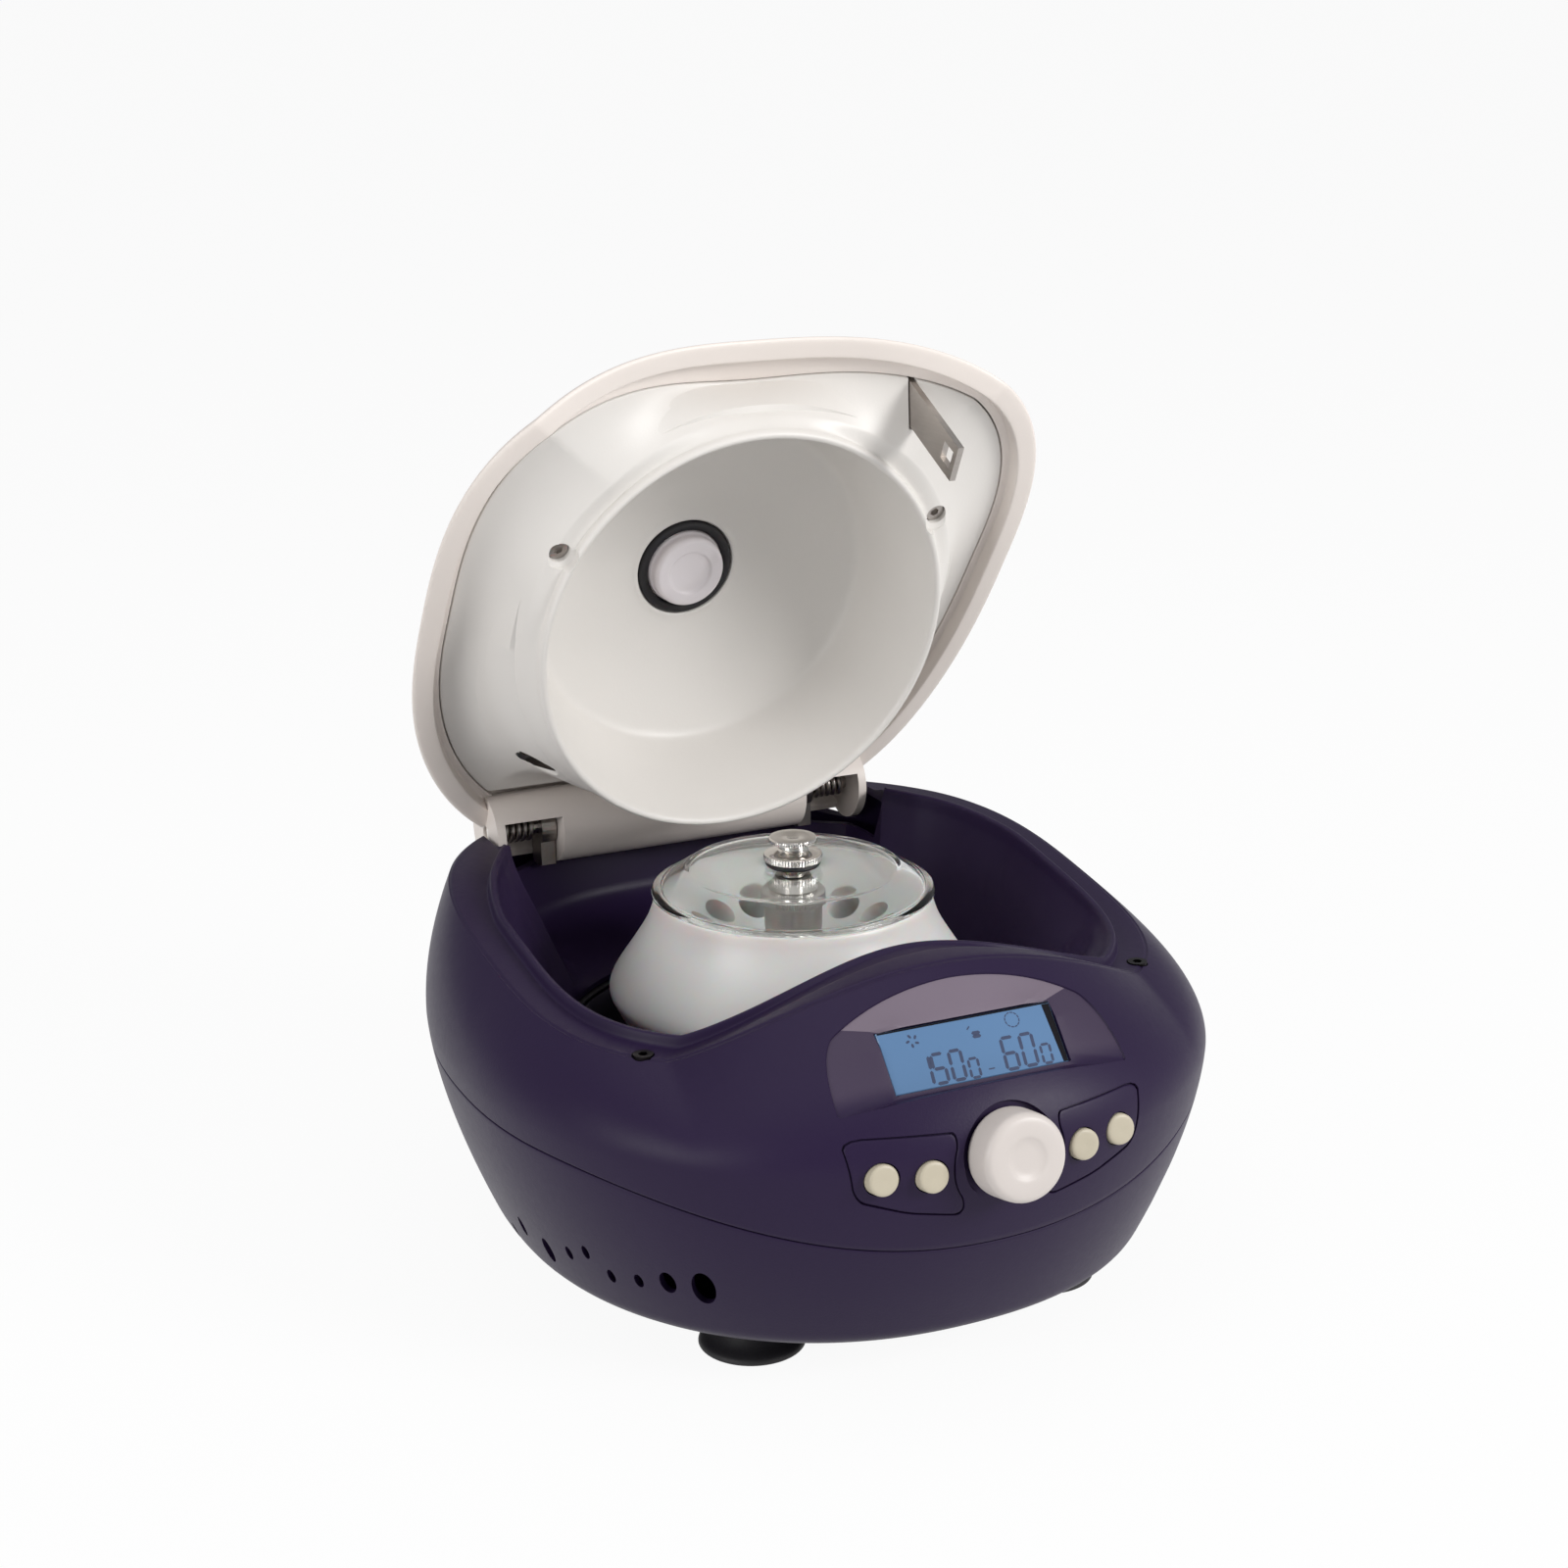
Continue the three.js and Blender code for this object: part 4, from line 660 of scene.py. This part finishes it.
# behind the display pocket and the knob's well the inner wall is pushed back
well = 18.0 * unit(full_turn(64)) + knob_place
from_middle = pocket_outline - window
wider = pocket_outline + wall * from_middle / np.linalg.norm(from_middle, axis=1)[:, None]
inner = press_in(back_rows.reshape(-1, 3), display, wider,
                 lambda p: np.minimum(0.2, p[:, 2] - 1.6) - wall)
inner = press_in(inner, panel, well, lambda p: -2.6 - wall + 0 * p[:, 2])
rows = [*skin_rows, *brow_rows[1:], *inner.reshape(back_rows.shape)]
housing = piece("housing", rows, looped=True)
carve(housing, pocket_tool())
seat = [(0.4, 1.1, np.linspace(0.03, 1, 16)), (0.4, 0.25, [1]), (0.65, -0.1, [1]), (1.0, -4, [1])]
carve(housing, *(plate_rings(side, seat, 0.4) for side in (-1, 1)))
well_profile = [(0.01, -2.6), (14.2, -2.6), (14.6, -2.2), (14.7, -0.4), (15, 0.1), (15.8, 0.7), (17.5, 4)]
carve(housing, panel.out_of(lathe(well_profile, 96, knob_place)))
carve(housing, display.out_of(block(-28.1, 28.1, -0.3, 18.9, -12.0, 3.0)))
carve(housing, *(rod_on(panel, button_hole, place, -14, 20) for place in button_places),
      rod_on(panel, 3.9, knob_place, -14, 20))
latch_slot, screw_holes = (48.6, 53.4, -78.2, -57.8, 74, 150), [(-82.4, -73.4), (82.4, -73.4)]
carve(housing, block(*latch_slot),
      *(lathe([(3.3, 96.7), (3.3, 140)], 40, hole) for hole in screw_holes))
hinge_y, hinge_z, pocket_x, pocket_radius = 96.5, 113.6, 70.7, 14
pocket_box = block(-pocket_x, pocket_x, 71, hinge_y, hinge_z - pocket_radius, hinge_z + 26)
carve(housing, shaped(hinge_rod(pocket_radius, -pocket_x, pocket_x), pocket_box, "UNION"))

# the pocket's facets get a painted sheen, a lighter tone for the overhead light they catch: a face
# attribute says where, and how much beside the window
grain_and_painted_sheen = purple_plastic("purple_grain_and_painted_sheen")
tree = grain_and_painted_sheen.node_tree
place, slope_up = node(tree, "TexCoord").outputs["Object"], display.axes[1]
fold = slope_up @ (display.origin + [0, axis_y, 0])
along = node(tree, "VectorMath", {0: place, 1: slope_up}, operation="DOT_PRODUCT").outputs["Value"]
span = {"From Min": (fold - 2.5) / 1000, "From Max": (fold + 4.5) / 1000}
rise = node(tree, "MapRange", {"Value": along, **span}, interpolation_type="SMOOTHSTEP")
where = node(tree, "Attribute", attribute_name="pocket").outputs["Fac"]
# the lighter tone is the painted sheen, fading in up the slope over 7 mm round the display face's origin
sheen_tones = {"A": linear(*purple_tone), "B": linear(112, 101, 113)}
tone = node(tree, "Mix", {"Factor": maths(tree, "MULTIPLY", rise, where), **sheen_tones}, data_type="RGBA")
fill(tree, tree.nodes["skin"], {"Colour": tone.outputs["Result"]})
faces = housing.data.polygons
local = display.into(values_of(faces, "center") * 1000 - [0, axis_y, 0])
in_pocket = ((values_of(faces, "normal") @ display.axes[2] > 0.4)
             & (np.abs(local - [0, 14, 0]) < [47, 19, 9]).all(1))
floor = local[in_pocket]
sunk = display_skin(floor[:, :2]) - floor[:, 2]
in_pocket[in_pocket] = (inside_by(floor, pocket_outline) > -0.05) & (sunk > 0.3) & (sunk < 8)
from_window = np.abs(local[:, :2] - window) / window_half
# painted sheen: full on the facets above and below the window, 0.22 on those beside it
painted_sheen_share = in_pocket * np.where(from_window[:, 0] > from_window[:, 1], 0.22, 1.0)
pocket = housing.data.attributes.new("pocket", "FLOAT", "FACE")
pocket.data.foreach_set("value", painted_sheen_share.astype(np.float32))
dress(housing, 30, "base", grain_and_painted_sheen, "purple_plastic", "upper_housing")

# Display: a blue-lit liquid crystal pane under a clear window, sunk in the pocket of the arch.
# Its dark segments show plain numbers, with a small fan and a small clock drawn above them. Black strips
# along its top and right edges are painted shade of the well's walls.
def pane_rings(face, outline, low, high, edge):
    """A flat pane on a face between two heights, its upper edge drawn in by a small bevel."""
    middle = outline.mean(0)
    reach = np.abs(outline - middle).max(0)
    return face.out_of([at_height(middle + (outline - middle) * (1 + grow / reach), height)
                        for grow, height in [(0, low), (0, high - edge), (-edge, high)]])


lcd_blue = plastic("display_glass", (80, 112, 148), 0.22, cloud=0.07, depth=0, spread=0.02,
                   own={"Emission Strength": 0.12})
tree = lcd_blue.node_tree
fill(tree, tree.nodes["Principled BSDF"], {"Emission Color": tree.nodes["skin"]})
pane = piece("display_pane", pane_rings(display, rectangle(-27.8, 27.8, 0, 18.6), -1.9, -0.3, 0.2))
dress(pane, 32, "base", lcd_blue, "display_glass", "display_window")


def bar(x0, y0, x1, y1, width):
    """A flat segment with pointed ends, as six points."""
    a, b = np.array([x0, y0], float), np.array([x1, y1], float)
    along = (b - a) / np.linalg.norm(b - a)
    side = np.array([-along[1], along[0]]) * width / 2
    a, b, tip = a + along * 0.15, b - along * 0.15, along * width / 2
    return np.array([a, a + tip - side, b - tip - side, b, b - tip + side, a + tip + side])


def digit(number, x, y, width, height, stroke, lean=0.08):
    """The lit segments of one seven-segment digit whose lower left corner is at (x, y)."""
    ends = {"a": (0, 2, 1, 2), "b": (1, 1, 1, 2), "c": (1, 0, 1, 1), "d": (0, 0, 1, 0), "e": (0, 0, 0, 1),
            "f": (0, 1, 0, 2), "g": (0, 1, 1, 1)}
    bars = []
    for name in {"0": "abcdef", "1": "bc", "5": "afgcd", "6": "afgedc"}[number]:
        x0, y0, x1, y1 = np.array(ends[name]) * ((width, height / 2) * 2)
        bars.append(bar(x + x0 + lean * y0, y + y0, x + x1 + lean * y1, y + y1, stroke))
    return bars


def blades(x, y, count, start, inner, outer, swing, width):
    """Bars round a centre, from the inner radius to the outer one and on by an angle."""
    q = full_turn(count) + start
    ends = np.concatenate([inner * unit(q), outer * unit(q + swing)], 1) + [x, y, x, y]
    return [bar(*end, width) for end in ends]


left, right, small = (0.9, 3.7, 8.6, 1.0), (0.9, 3.9, 9.4, 1.0), (0.6, 2.9, 5.6, 0.8)
places = (-19.0, -14.4, -8.8, -3.4, 8.2, 14.2, 20.0)
marks = []
for number, x, sizes in zip("1500600", places, (left, left, left, small, right, right, small)):
    marks += digit(number, x, *sizes)
marks += blades(-17.6, 14.6, 5, 0.3, 0.7, 2.3, 0.5, 0.7) + blades(14.6, 15.2, 12, 0, 2.3, 2.3, 0.6, 0.35)
marks += [bar(0.6, 12.4, 3.8, 12.4, 1.1), bar(0.6, 13.4, 3.8, 13.4, 1.1),
          bar(-0.3, 14.6, 1.0, 15.8, 0.4), bar(2.2, 2.2, 4.6, 2.2, 0.4)]
pairs = np.stack([at_height(np.array(marks), z) for z in (-0.32, -0.26)], 1)
lcd_dark = plastic("display_dark", (22, 40, 76), 0.5, cloud=0.1, grain=2500.0)
dress(joined(display.out_of(pairs), "display_digits"), 0, "base", lcd_dark, "display_glass")
# dark strips along the top and right edges of the pane, the right one wider at the top: painted shade of
# the well's walls
well_shade_black = plastic("display_painted_well_shade", (9, 7, 14), 0.5, cloud=0.1, grain=2500.0,
                       own={"Specular IOR Level": 0.1})
top_strip = rectangle(-27.6, 27.6, 18.0, 18.5)
right_strip = np.array([(26.1, 0.1), (27.6, 0.1), (27.6, 17.9), (25.2, 17.9)])
strips = [pane_rings(display, strip, -0.32, -0.24, 0.02) for strip in (top_strip, right_strip)]
dress(joined(strips, "display_painted_well_shade"), 0, "base", well_shade_black, "display_glass")

# Button plates: two thin inlays that follow the curve of the panel, let in by a hair so that a fine
# groove shows all round. Each carries two round cream buttons that stand a little proud.
cream = plastic("cream_plastic", (184, 175, 155), 0.42, cloud=0.04, grain=1800.0, depth=0.00002)
cap = rounded([(0.01, -7), (1.8, -7), (1.8, -4.4), (4.55, -4.4), (4.6, -3), (4.6, 0.7), (4.3, 1.3),
               (3.4, 1.55), (0.01, 1.4)])
inlay = [(-0.35, 0.15, np.linspace(0.03, 1, 26)), (-0.1, 0.22, [1]), (0, 0.45, [1]), (0, 0.8, [1]),
         (-0.35, 0.82, np.linspace(1, 0.03, 12))]
for side, name, places in ((-1, "left", button_places[:2]), (1, "right", button_places[2:])):
    plate = piece(f"{name}_inlay", plate_rings(side, inlay))
    carve(plate, *(rod_on(panel, button_hole, place, -20, 20) for place in places))
    dress(plate, 40, "base", purple, "purple_plastic", f"{name}_button_plate")
button_names, button_lifts = ("select", "pulse", "door", "run"), (-4.6, -1.5, -1.5, -4.6)
for (x, y), lift, name in zip(button_places, button_lifts, button_names):
    button = piece(f"cap_{name}", panel.out_of(lathe(cap, 64) + [x, y, lift]))
    dress(button, 50, f"button_{name}", cream, "cream_plastic", f"button_{name}")

# Speed knob: a turned-looking cap in pale plastic with a shallow finger dimple, pushed on the shaft
# of the encoder, in a round well that is a little wider than it.
pale = plastic("knob_plastic", (200, 192, 187), 0.42, cloud=0.03, grain=1700.0, depth=0.00002)
knob_profile = rounded([
    (0.01, -5.4), (3.9, -5.4), (3.9, -2.3), (12.2, -2.3), (13, -1.4), (13, 1), (12.9, 6.6), (12.6, 8.2),
    (11.6, 9.3), (10, 9.6), (7.4, 9.6), (6.2, 9.5), (5.4, 9.1), (4.2, 8.75), (2.4, 8.7), (0.01, 8.7)])
dress(piece("knob", panel.out_of(lathe(knob_profile, 128, knob_place))),
      50, "speed_knob", pale, "knob_plastic", "speed_knob")

# Chamber: a bowl spun from dark anodised sheet, which stands round the rotor under the recess. The
# soft seal on its flange is pressed against the housing from below.
# turned metal: fine rings about the rotor axis in height, colour and roughness, and a faint cloudiness
tree, given = skin_group("turned_metal", 0.6, Rings=900.0, Roughness=0.3, Spread=0.1)
turned_metal, place = tree, node(tree, "TexCoord").outputs["Object"]
centre = node(tree, "Mapping", {"Vector": place, "Location": (0, -axis_y / 1000, 0)})
split = node(tree, "SeparateXYZ", {0: centre}).outputs
flat = node(tree, "CombineXYZ", {0: split[0], 1: split[1]})
radius = node(tree, "VectorMath", {0: flat}, operation="LENGTH").outputs["Value"]
section = node(tree, "CombineXYZ", {0: radius, 1: split[2]})
rings = node(tree, "TexNoise", {"Vector": section, "Scale": given["Rings"], "Detail": 3.0})
cloud = node(tree, "TexNoise", {"Vector": centre, "Scale": 60.0})
off = maths(tree, "SUBTRACT", maths(tree, "ADD", rings, cloud), 1.0)
vary(tree, given, maths(tree, "MULTIPLY_ADD", off, 0.25, 1.0), off, rings)


def metal(name, colour, roughness, rings=900.0, spread=0.12, metallic=1.0):
    """A worked metal."""
    given = {"Rings": rings, "Roughness": roughness, "Spread": spread}
    return finish(name, turned_metal, colour, given, 0.00001, {"Metallic": metallic})


dark_alloy = metal("bowl_alloy", (50, 47, 58), 0.5, rings=500.0, metallic=0.6)
bowl_profile = rounded([
    (9, 46.8), (64.5, 46.8), (69.5, 49), (71.7, 54), (71.7, 63.5), (79, 63.5), (79, 64.7), (70.5, 64.7),
    (70.5, 54.4), (68.9, 49.8), (64.5, 48), (9, 48)], 1, closed=True)
dress(piece("chamber", lathe(bowl_profile, 160), looped=True),
      40, "base", dark_alloy, "bowl_alloy", "chamber_bowl")
gasket_profile = rounded([(72.8, 65), (78, 65), (78, 66.7), (72.8, 66.7)], closed=True)
dress(piece("gasket", lathe(gasket_profile, 160), looped=True),
      60, "base", rubber, "black_rubber", "chamber_seal")

# Rotor: a milky angle rotor for twelve tubes, moulded in one piece, with its steel hub and shaft.
# The tube bores lean in at 45 degrees and open in the inner cone under the clear cover.
milky = plastic("rotor_plastic", (214, 213, 210), 0.34, cloud=0.03, grain=700.0, depth=0.00001,
                spread=0.05, own={"Subsurface Weight": 0.5, "Subsurface Scale": 0.012})
rotor_profile = rounded([
    (46.5, 56.9), (49.2, 62), (58.4, 78.9), (59.3, 80.9), (59.2, 83), (57.6, 86.4), (52, 94.5),
    (47.2, 102), (45, 107.6), (44.2, 111.2), (43.6, 112.3), (41.6, 112.2), (38.6, 108.4), (20.5, 90.3),
    (18.6, 88), (16, 87), (12.4, 87), (12.4, 74), (9, 72), (9, 56.9)], closed=True)
angle_rotor = piece("angle_rotor", lathe(rotor_profile, 240), looped=True)
bore_profile = [(0.01, -27), (2.6, -26.5), (5.7, -14), (5.7, 0), (5.9, 1.2), (6.6, 2.2), (7.4, 40)]
tubes, bore_lean, bore_radius, bore_z = 12, math.radians(-45), 29, 99
x, y, z = np.moveaxis(lathe(bore_profile, 32), -1, 0)
c, s = math.cos(bore_lean), math.sin(bore_lean)
x, z = x * c + z * s + bore_radius, z * c - x * s + bore_z
for q in full_turn(tubes):
    c, s = math.cos(q), math.sin(q)
    carve(angle_rotor, np.stack([x * c - y * s, x * s + y * c, z], -1))
dress(angle_rotor, 32, "rotor", milky, "rotor_plastic", "rotor")


def knurled(profile, bands, teeth, depth, steps=288):
    """A turned profile with fine teeth in height bands: the radius swings by a tenth of the depth."""
    rings = lathe(profile, steps)
    for low, high in bands:
        share = smooth_share(np.minimum(rings[..., 2] - low, high - rings[..., 2]) / 0.15)
        rings[..., :2] *= (1 + share * depth * np.cos(teeth * full_turn(steps)) / 10)[..., None]
    return rings


def refinish(material, *names):
    """Gives CAD nodes that keep their own solids a material."""
    for name in names:
        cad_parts[name].material_slots[0].material = material


satin = metal("satin_steel", (176, 170, 165), 0.34, rings=1200.0)
bright = metal("polished_steel", (214, 210, 205), 0.14, rings=700.0, spread=0.06)
hub_profile = [
    (4.1, 58), (8.7, 58), (8.7, 72.3), (12.1, 74.5), (12.1, 88.6), (9.2, 90), (9.2, 108.2), (10, 108.6),
    (10.2, 108.9), (10.2, 109.4), (10.2, 110.6), (10.2, 111.4), (9.8, 111.9), (8, 112.6), (7.2, 113.6),
    (6.2, 114.8), (6, 116), (4.1, 116)]
dress(piece("hub", knurled(hub_profile, [(108.8, 111.5)], 72, 0.14), looped=True),
      30, "rotor", satin, "satin_steel", "rotor_hub")
refinish(bright, "motor_shaft")

# Rotor cover: a shallow dish of clear plastic that drops over the rim, held by a knurled nut with a
# rubber ring under it. The nut lifts off with the cover.
clear = plastic("clear_plastic", (244, 247, 247), 0.05, cloud=0.01, depth=0, spread=0.05,
                own={"Transmission Weight": 1.0, "IOR": 1.25})
dish_profile = rounded([
    (41, 112.6), (44.9, 112.6), (45.1, 113.4), (44.7, 114.2), (43.6, 114.7), (34.8, 120.3), (34, 120.8),
    (33, 120.95), (5.7, 120.9), (5.7, 119.2), (32.4, 119.2), (33.2, 118.9), (41.6, 113.7),
    (41, 113.4)], closed=True)
dress(piece("dish", lathe(dish_profile, 200), looped=True),
      45, "rotor_cover", clear, "clear_plastic", "rotor_cover")
refinish(rubber, "cover_ring")
nut_profile = [
    (0.01, 116.4), (4.4, 116.4), (4.4, 120.9), (5.3, 122.6), (8.9, 122.7), (9.25, 123), (9.25, 124.4),
    (9.2, 125), (8.4, 125.5), (6.4, 125.9), (5.2, 126.4), (4.8, 127), (4.8, 127.8), (5.4, 128.4),
    (7.2, 128.7), (7.6, 128.95), (7.6, 129.5), (7.6, 130), (7.3, 130.4), (6.4, 130.6), (2.2, 130.5),
    (1.6, 130.2), (0.01, 130.2)]
dress(piece("nut", knurled(nut_profile, [(123, 124.8), (128.95, 130)], 60, 0.16)),
      30, "rotor_cover", bright, "polished_steel", "cover_nut")

# Lid shell: an ivory dome that follows the rim of the housing and steps back behind the arch. Its
# rear edge is a barrel on the hinge line, cut away for the brackets and the springs.
open_degrees, dome_z, dome_power, lid_front = 63.4, 152.5, 2.4, 95
barrel, spring_room, pin_hole = 12.9, 10.3, 2.6


def lid_plan(angle):
    """Plan of the lid: the rim with a shorter front, drawn in behind the arch."""
    plan = rim(angle, lid_front)
    return drawn_in(plan, 8 * arch(plan))


def lid_height(plan):
    """Height of the lid's edge: the rim, less the step under the arch."""
    return rim_height(plan) - arch_step * arch(plan)


def lid_ring(angle, inset, rise):
    """A ring that keeps to the lid's edge."""
    plan = lid_plan(angle)
    return at_height(drawn_in(plan, inset), lid_height(plan) + rise)


def dome_ring(angle, share, inset=0.0, drop=0.0):
    """A ring of the dome: out from the crest with the share, down with its power."""
    plan = lid_plan(angle)
    at = drawn_in(mix(np.array([0.0, -12.0]), plan, share), inset * share)
    return at_height(at, mix(dome_z, lid_height(plan) + 2.0, share ** dome_power) - drop)


def swing_open(mesh):
    """Turns a mesh of the shut lid back about the hinge line."""
    hinge = Face((0, hinge_y + axis_y, hinge_z), -open_degrees)
    turned = hinge.out_of(values_of(mesh.vertices) * 1000 - hinge.origin) / 1000
    mesh.vertices.foreach_set("co", turned.ravel())
    mesh.update()


ivory = plastic("ivory_plastic", (226, 217, 210), 0.46, cloud=0.03, grain=1200.0)
turn = swept_angles(1.9)
ledge = 6 * arch(lid_plan(turn))
rows = [dome_ring(turn, k, 2.6, 3.0) for k in np.linspace(0.06, 0.84, 22)]
rows += list(rounded([
    rows[-1], *(lid_ring(turn, *by) for by in [
        (10.6 + ledge, 8.4), (10.6 + ledge, 5.4), (10.2 + ledge, 5.2), (8.2, 5.2), (7.8, 4.8), (7.3, 1.4),
        (7.1, 0.75), (6.6, 0.6), (4, 0.6), (1.6, 0.65), (0.5, 0.9), (0.05, 1.7)]),
    *(dome_ring(turn, share) for share in (0.985, 0.96, 0.93))]))[1:]
rows += [dome_ring(turn, k) for k in np.linspace(0.915, 0.02, 46)]
lid = piece("lid", rows)
carve(lid, shaped(block(-130, 130, hinge_y, 190, 0, 210), hinge_rod(barrel, -160, 160), "DIFFERENCE"))
carve(lid, hinge_rod(barrel, -69, 69, 128), how="UNION")
for side in (-1, 1):
    low, high = sorted((side * 45.4, side * 66.0))
    carve(lid, hinge_rod(spring_room, low, high))
    carve(lid, block(low, high, hinge_y - spring_room, hinge_y + 40, hinge_z - 40, hinge_z))
    carve(lid, hinge_rod(pin_hole, *sorted((side * 36.7, side * 70.0))))
bowl = Face((0, 2.5, 89.3), -11.1)
carve(lid, rod_on(bowl, 13.35, (0, 0), 42, 92, 96))
swing_open(lid.data)
dress(lid, 32, "lid", ivory, "ivory_plastic", "lid_shell")

# Lid liner: a cool white moulding that closes the lid from below. Its flange rises to the round lip of
# a deep bowl, which clears the rotor, and the port in its floor lets a strobe see the nut.
bowl_radius, barrel_front = 69.9, 82.6


def bowl_ring(angle, depth, radius):
    """A round ring of the bowl at a depth along its leaning axis."""
    return bowl.out_of(at_height(radius * unit(angle), depth))


def flange_ring(angle, share, lift=0.0, spread=0.0):
    """A ring of the flange, from the seam to the bowl's crest: straight in plan, and in height with
    the dome's power."""
    plan = lid_plan(angle)
    seam_plan = drawn_in(plan, 11 + 6 * arch(plan))
    seam_plan[:, 1] = np.minimum(seam_plan[:, 1], barrel_front)
    crest = bowl_ring(angle, 0, bowl_radius + spread)
    height = mix(lid_height(plan) + 5.2, crest[:, 2], share ** dome_power)
    return at_height(mix(seam_plan, crest[:, :2], share), height + lift)


cool_white = plastic("liner_plastic", (217, 213, 208), 0.42, cloud=0.025, grain=1300.0)
turn = np.linspace(-math.pi, math.pi, 320, endpoint=False)
front_rows = [flange_ring(turn, k) for k in np.linspace(0.02, 0.8, 26)]
lip_rows = rounded([
    front_rows[-1], flange_ring(turn, 0.84), *(bowl_ring(turn, *at) for at in [
        (3, 69.9), (1.6, 69.8), (0.2, 69.2), (0, 68.2), (0.8, 67), (5, 66.4), (10, 65.5), (20, 63.2),
        (30, 60.4), (36.6, 58.2), (38.6, 56.6), (40, 53.6), (43, 46), (46.2, 37), (48.8, 27),
        (50.3, 19.6), (50.2, 18), (50.4, 17), (51.2, 16.8), (52.9, 16.8)])])
behind_rows = [bowl_ring(turn, *at) for at in
               [(52.9, 21), (50.6, 40), (39.6, 56.6), (20.5, 66.9), (8, 69.9)]]
behind_rows += [flange_ring(turn, share, 2, 2.4) for share in (0.82, 0.6, 0.3, 0)]
edge_rows = [flange_ring(turn, *at) for at in ((0, 1.2), (0, 0.35), (0.006, 0.08))]
liner = piece("liner", [*edge_rows, *front_rows[:-1], *lip_rows, *behind_rows], looped=True)
for x, y, z in [(-64.3, -31.3, 99.6), (64.3, -31.3, 99.6), (-60.5, 58, 108.5), (60.5, 58, 108.5)]:
    hole = [(7.5, z - 30), (5.4, z - 6), (4.9, z - 1.2), (3.4, z - 0.4), (3.4, z + 40)]
    carve(liner, lathe(hole, 40, (x, y)))
carve(liner, block(49.7, 52.3, -75, -61, 74, 154))
swing_open(liner.data)
dress(liner, 32, "lid", cool_white, "liner_plastic", "lid_liner")

# Viewing port: a clear stepped lens, turned from a rod, in a black rubber ring that is pushed into
# the floor of the bowl. Both stand on the bowl's own axis.
lens_plastic = plastic("lens_plastic", (238, 232, 234), 0.16, cloud=0.08, depth=0, spread=0.02,
                       own={"Transmission Weight": 0.3, "IOR": 1.3})
lens_profile = rounded([
    (0.01, 46.7), (6.9, 46.7), (7.6, 45.9), (8.4, 45.8), (10.6, 45.8), (11.4, 46), (12.2, 47),
    (12.4, 49.4), (12.9, 50.4), (13, 52), (13, 59.4), (12.2, 60.6), (0.01, 60.7)])
port = piece("port", bowl.out_of(lathe(lens_profile, 128)))
swing_open(port.data)
dress(port, 50, "lid", lens_plastic, "clear_plastic", "port_lens")
ring_profile = rounded([(13.3, 49.7), (16.5, 49.7), (16.5, 52.9), (13.3, 52.9)], closed=True)
grommet = piece("grommet", bowl.out_of(lathe(ring_profile, 128)), looped=True)
swing_open(grommet.data)
dress(grommet, 60, "lid", rubber, "black_rubber", "port_seal")

# Hinge: coil springs of round wire, wound on the pins beside the brackets. They push the lid open.
# Each is a circle carried along a helix of five turns about the hinge line.
coil_turns, coil_radius, wire_radius = 5, 3.7, 0.88
for side, name in ((-1, "left"), (1, "right")):
    t = np.linspace(0, 1, 221)
    q = math.tau * coil_turns * t
    path = round_hinge(side * mix(53, 64, t), coil_radius, q)
    out = np.stack([0 * q, np.cos(q), np.sin(q)], -1)
    ahead = np.gradient(path, axis=0)
    ahead /= np.linalg.norm(ahead, axis=1)[:, None]
    out -= ahead * (out * ahead).sum(1)[:, None]
    out /= np.linalg.norm(out, axis=1)[:, None]
    across = np.cross(ahead, out)
    c, s = unit(full_turn(14)).T[:, None, :, None]
    spring = piece(f"coil_{name}", path[:, None] + wire_radius * (c * out[:, None] + s * across[:, None]))
    dress(spring, 60, "base", satin, "satin_steel", f"hinge_spring_{name}")

# The other parts keep their own solids: screws, pins, brackets, boards, drive, mains side and latch.
# Only the mains rocker is made anew, a shallow V outside and a keel inside, at rest on one of its ends.
black = plastic("black_plastic", (24, 23, 26), 0.5, cloud=0.1, grain=1100.0)
rocker_side = Face((20, 113, 44), 9, first=1)
rocker_outline = rounded([(4.8, -8), (3.4, 0), (4.8, 8), (-3.2, 6.8), (-6, 0), (-3.2, -6.8)], closed=True)
dress(piece("rocker", pane_rings(rocker_side, rocker_outline, -5.2, 5.2, 0.3)),
      32, "power_rocker", black, "black_plastic", "power_rocker")
refinish(satin, "motor_plate", "striker_plate", "hinge_bracket_left", "hinge_bracket_right", "latch_bolt",
         *(f"inlet_blade_{k}" for k in (1, 2, 3)), *(f"liner_screw_{k}" for k in (1, 2, 3, 4)))
refinish(metal("dark_steel", (30, 27, 29), 0.4, rings=1500.0), "rim_screw_left", "rim_screw_right")
refinish(bright, "hinge_pin_left", "hinge_pin_right")
refinish(black, "knob_encoder", "motor", "power_inlet", "switch_frame", "latch_housing")
refinish(plastic("circuit_board", (31, 90, 58), 0.45, cloud=0.12, grain=2600.0),
         "display_board", "panel_board", "control_board")
refinish(rubber, *(f"rubber_mount_{k}" for k in (1, 2, 3, 4)))
refinish(cream, *(f"board_post_{k}" for k in (1, 2, 3)))
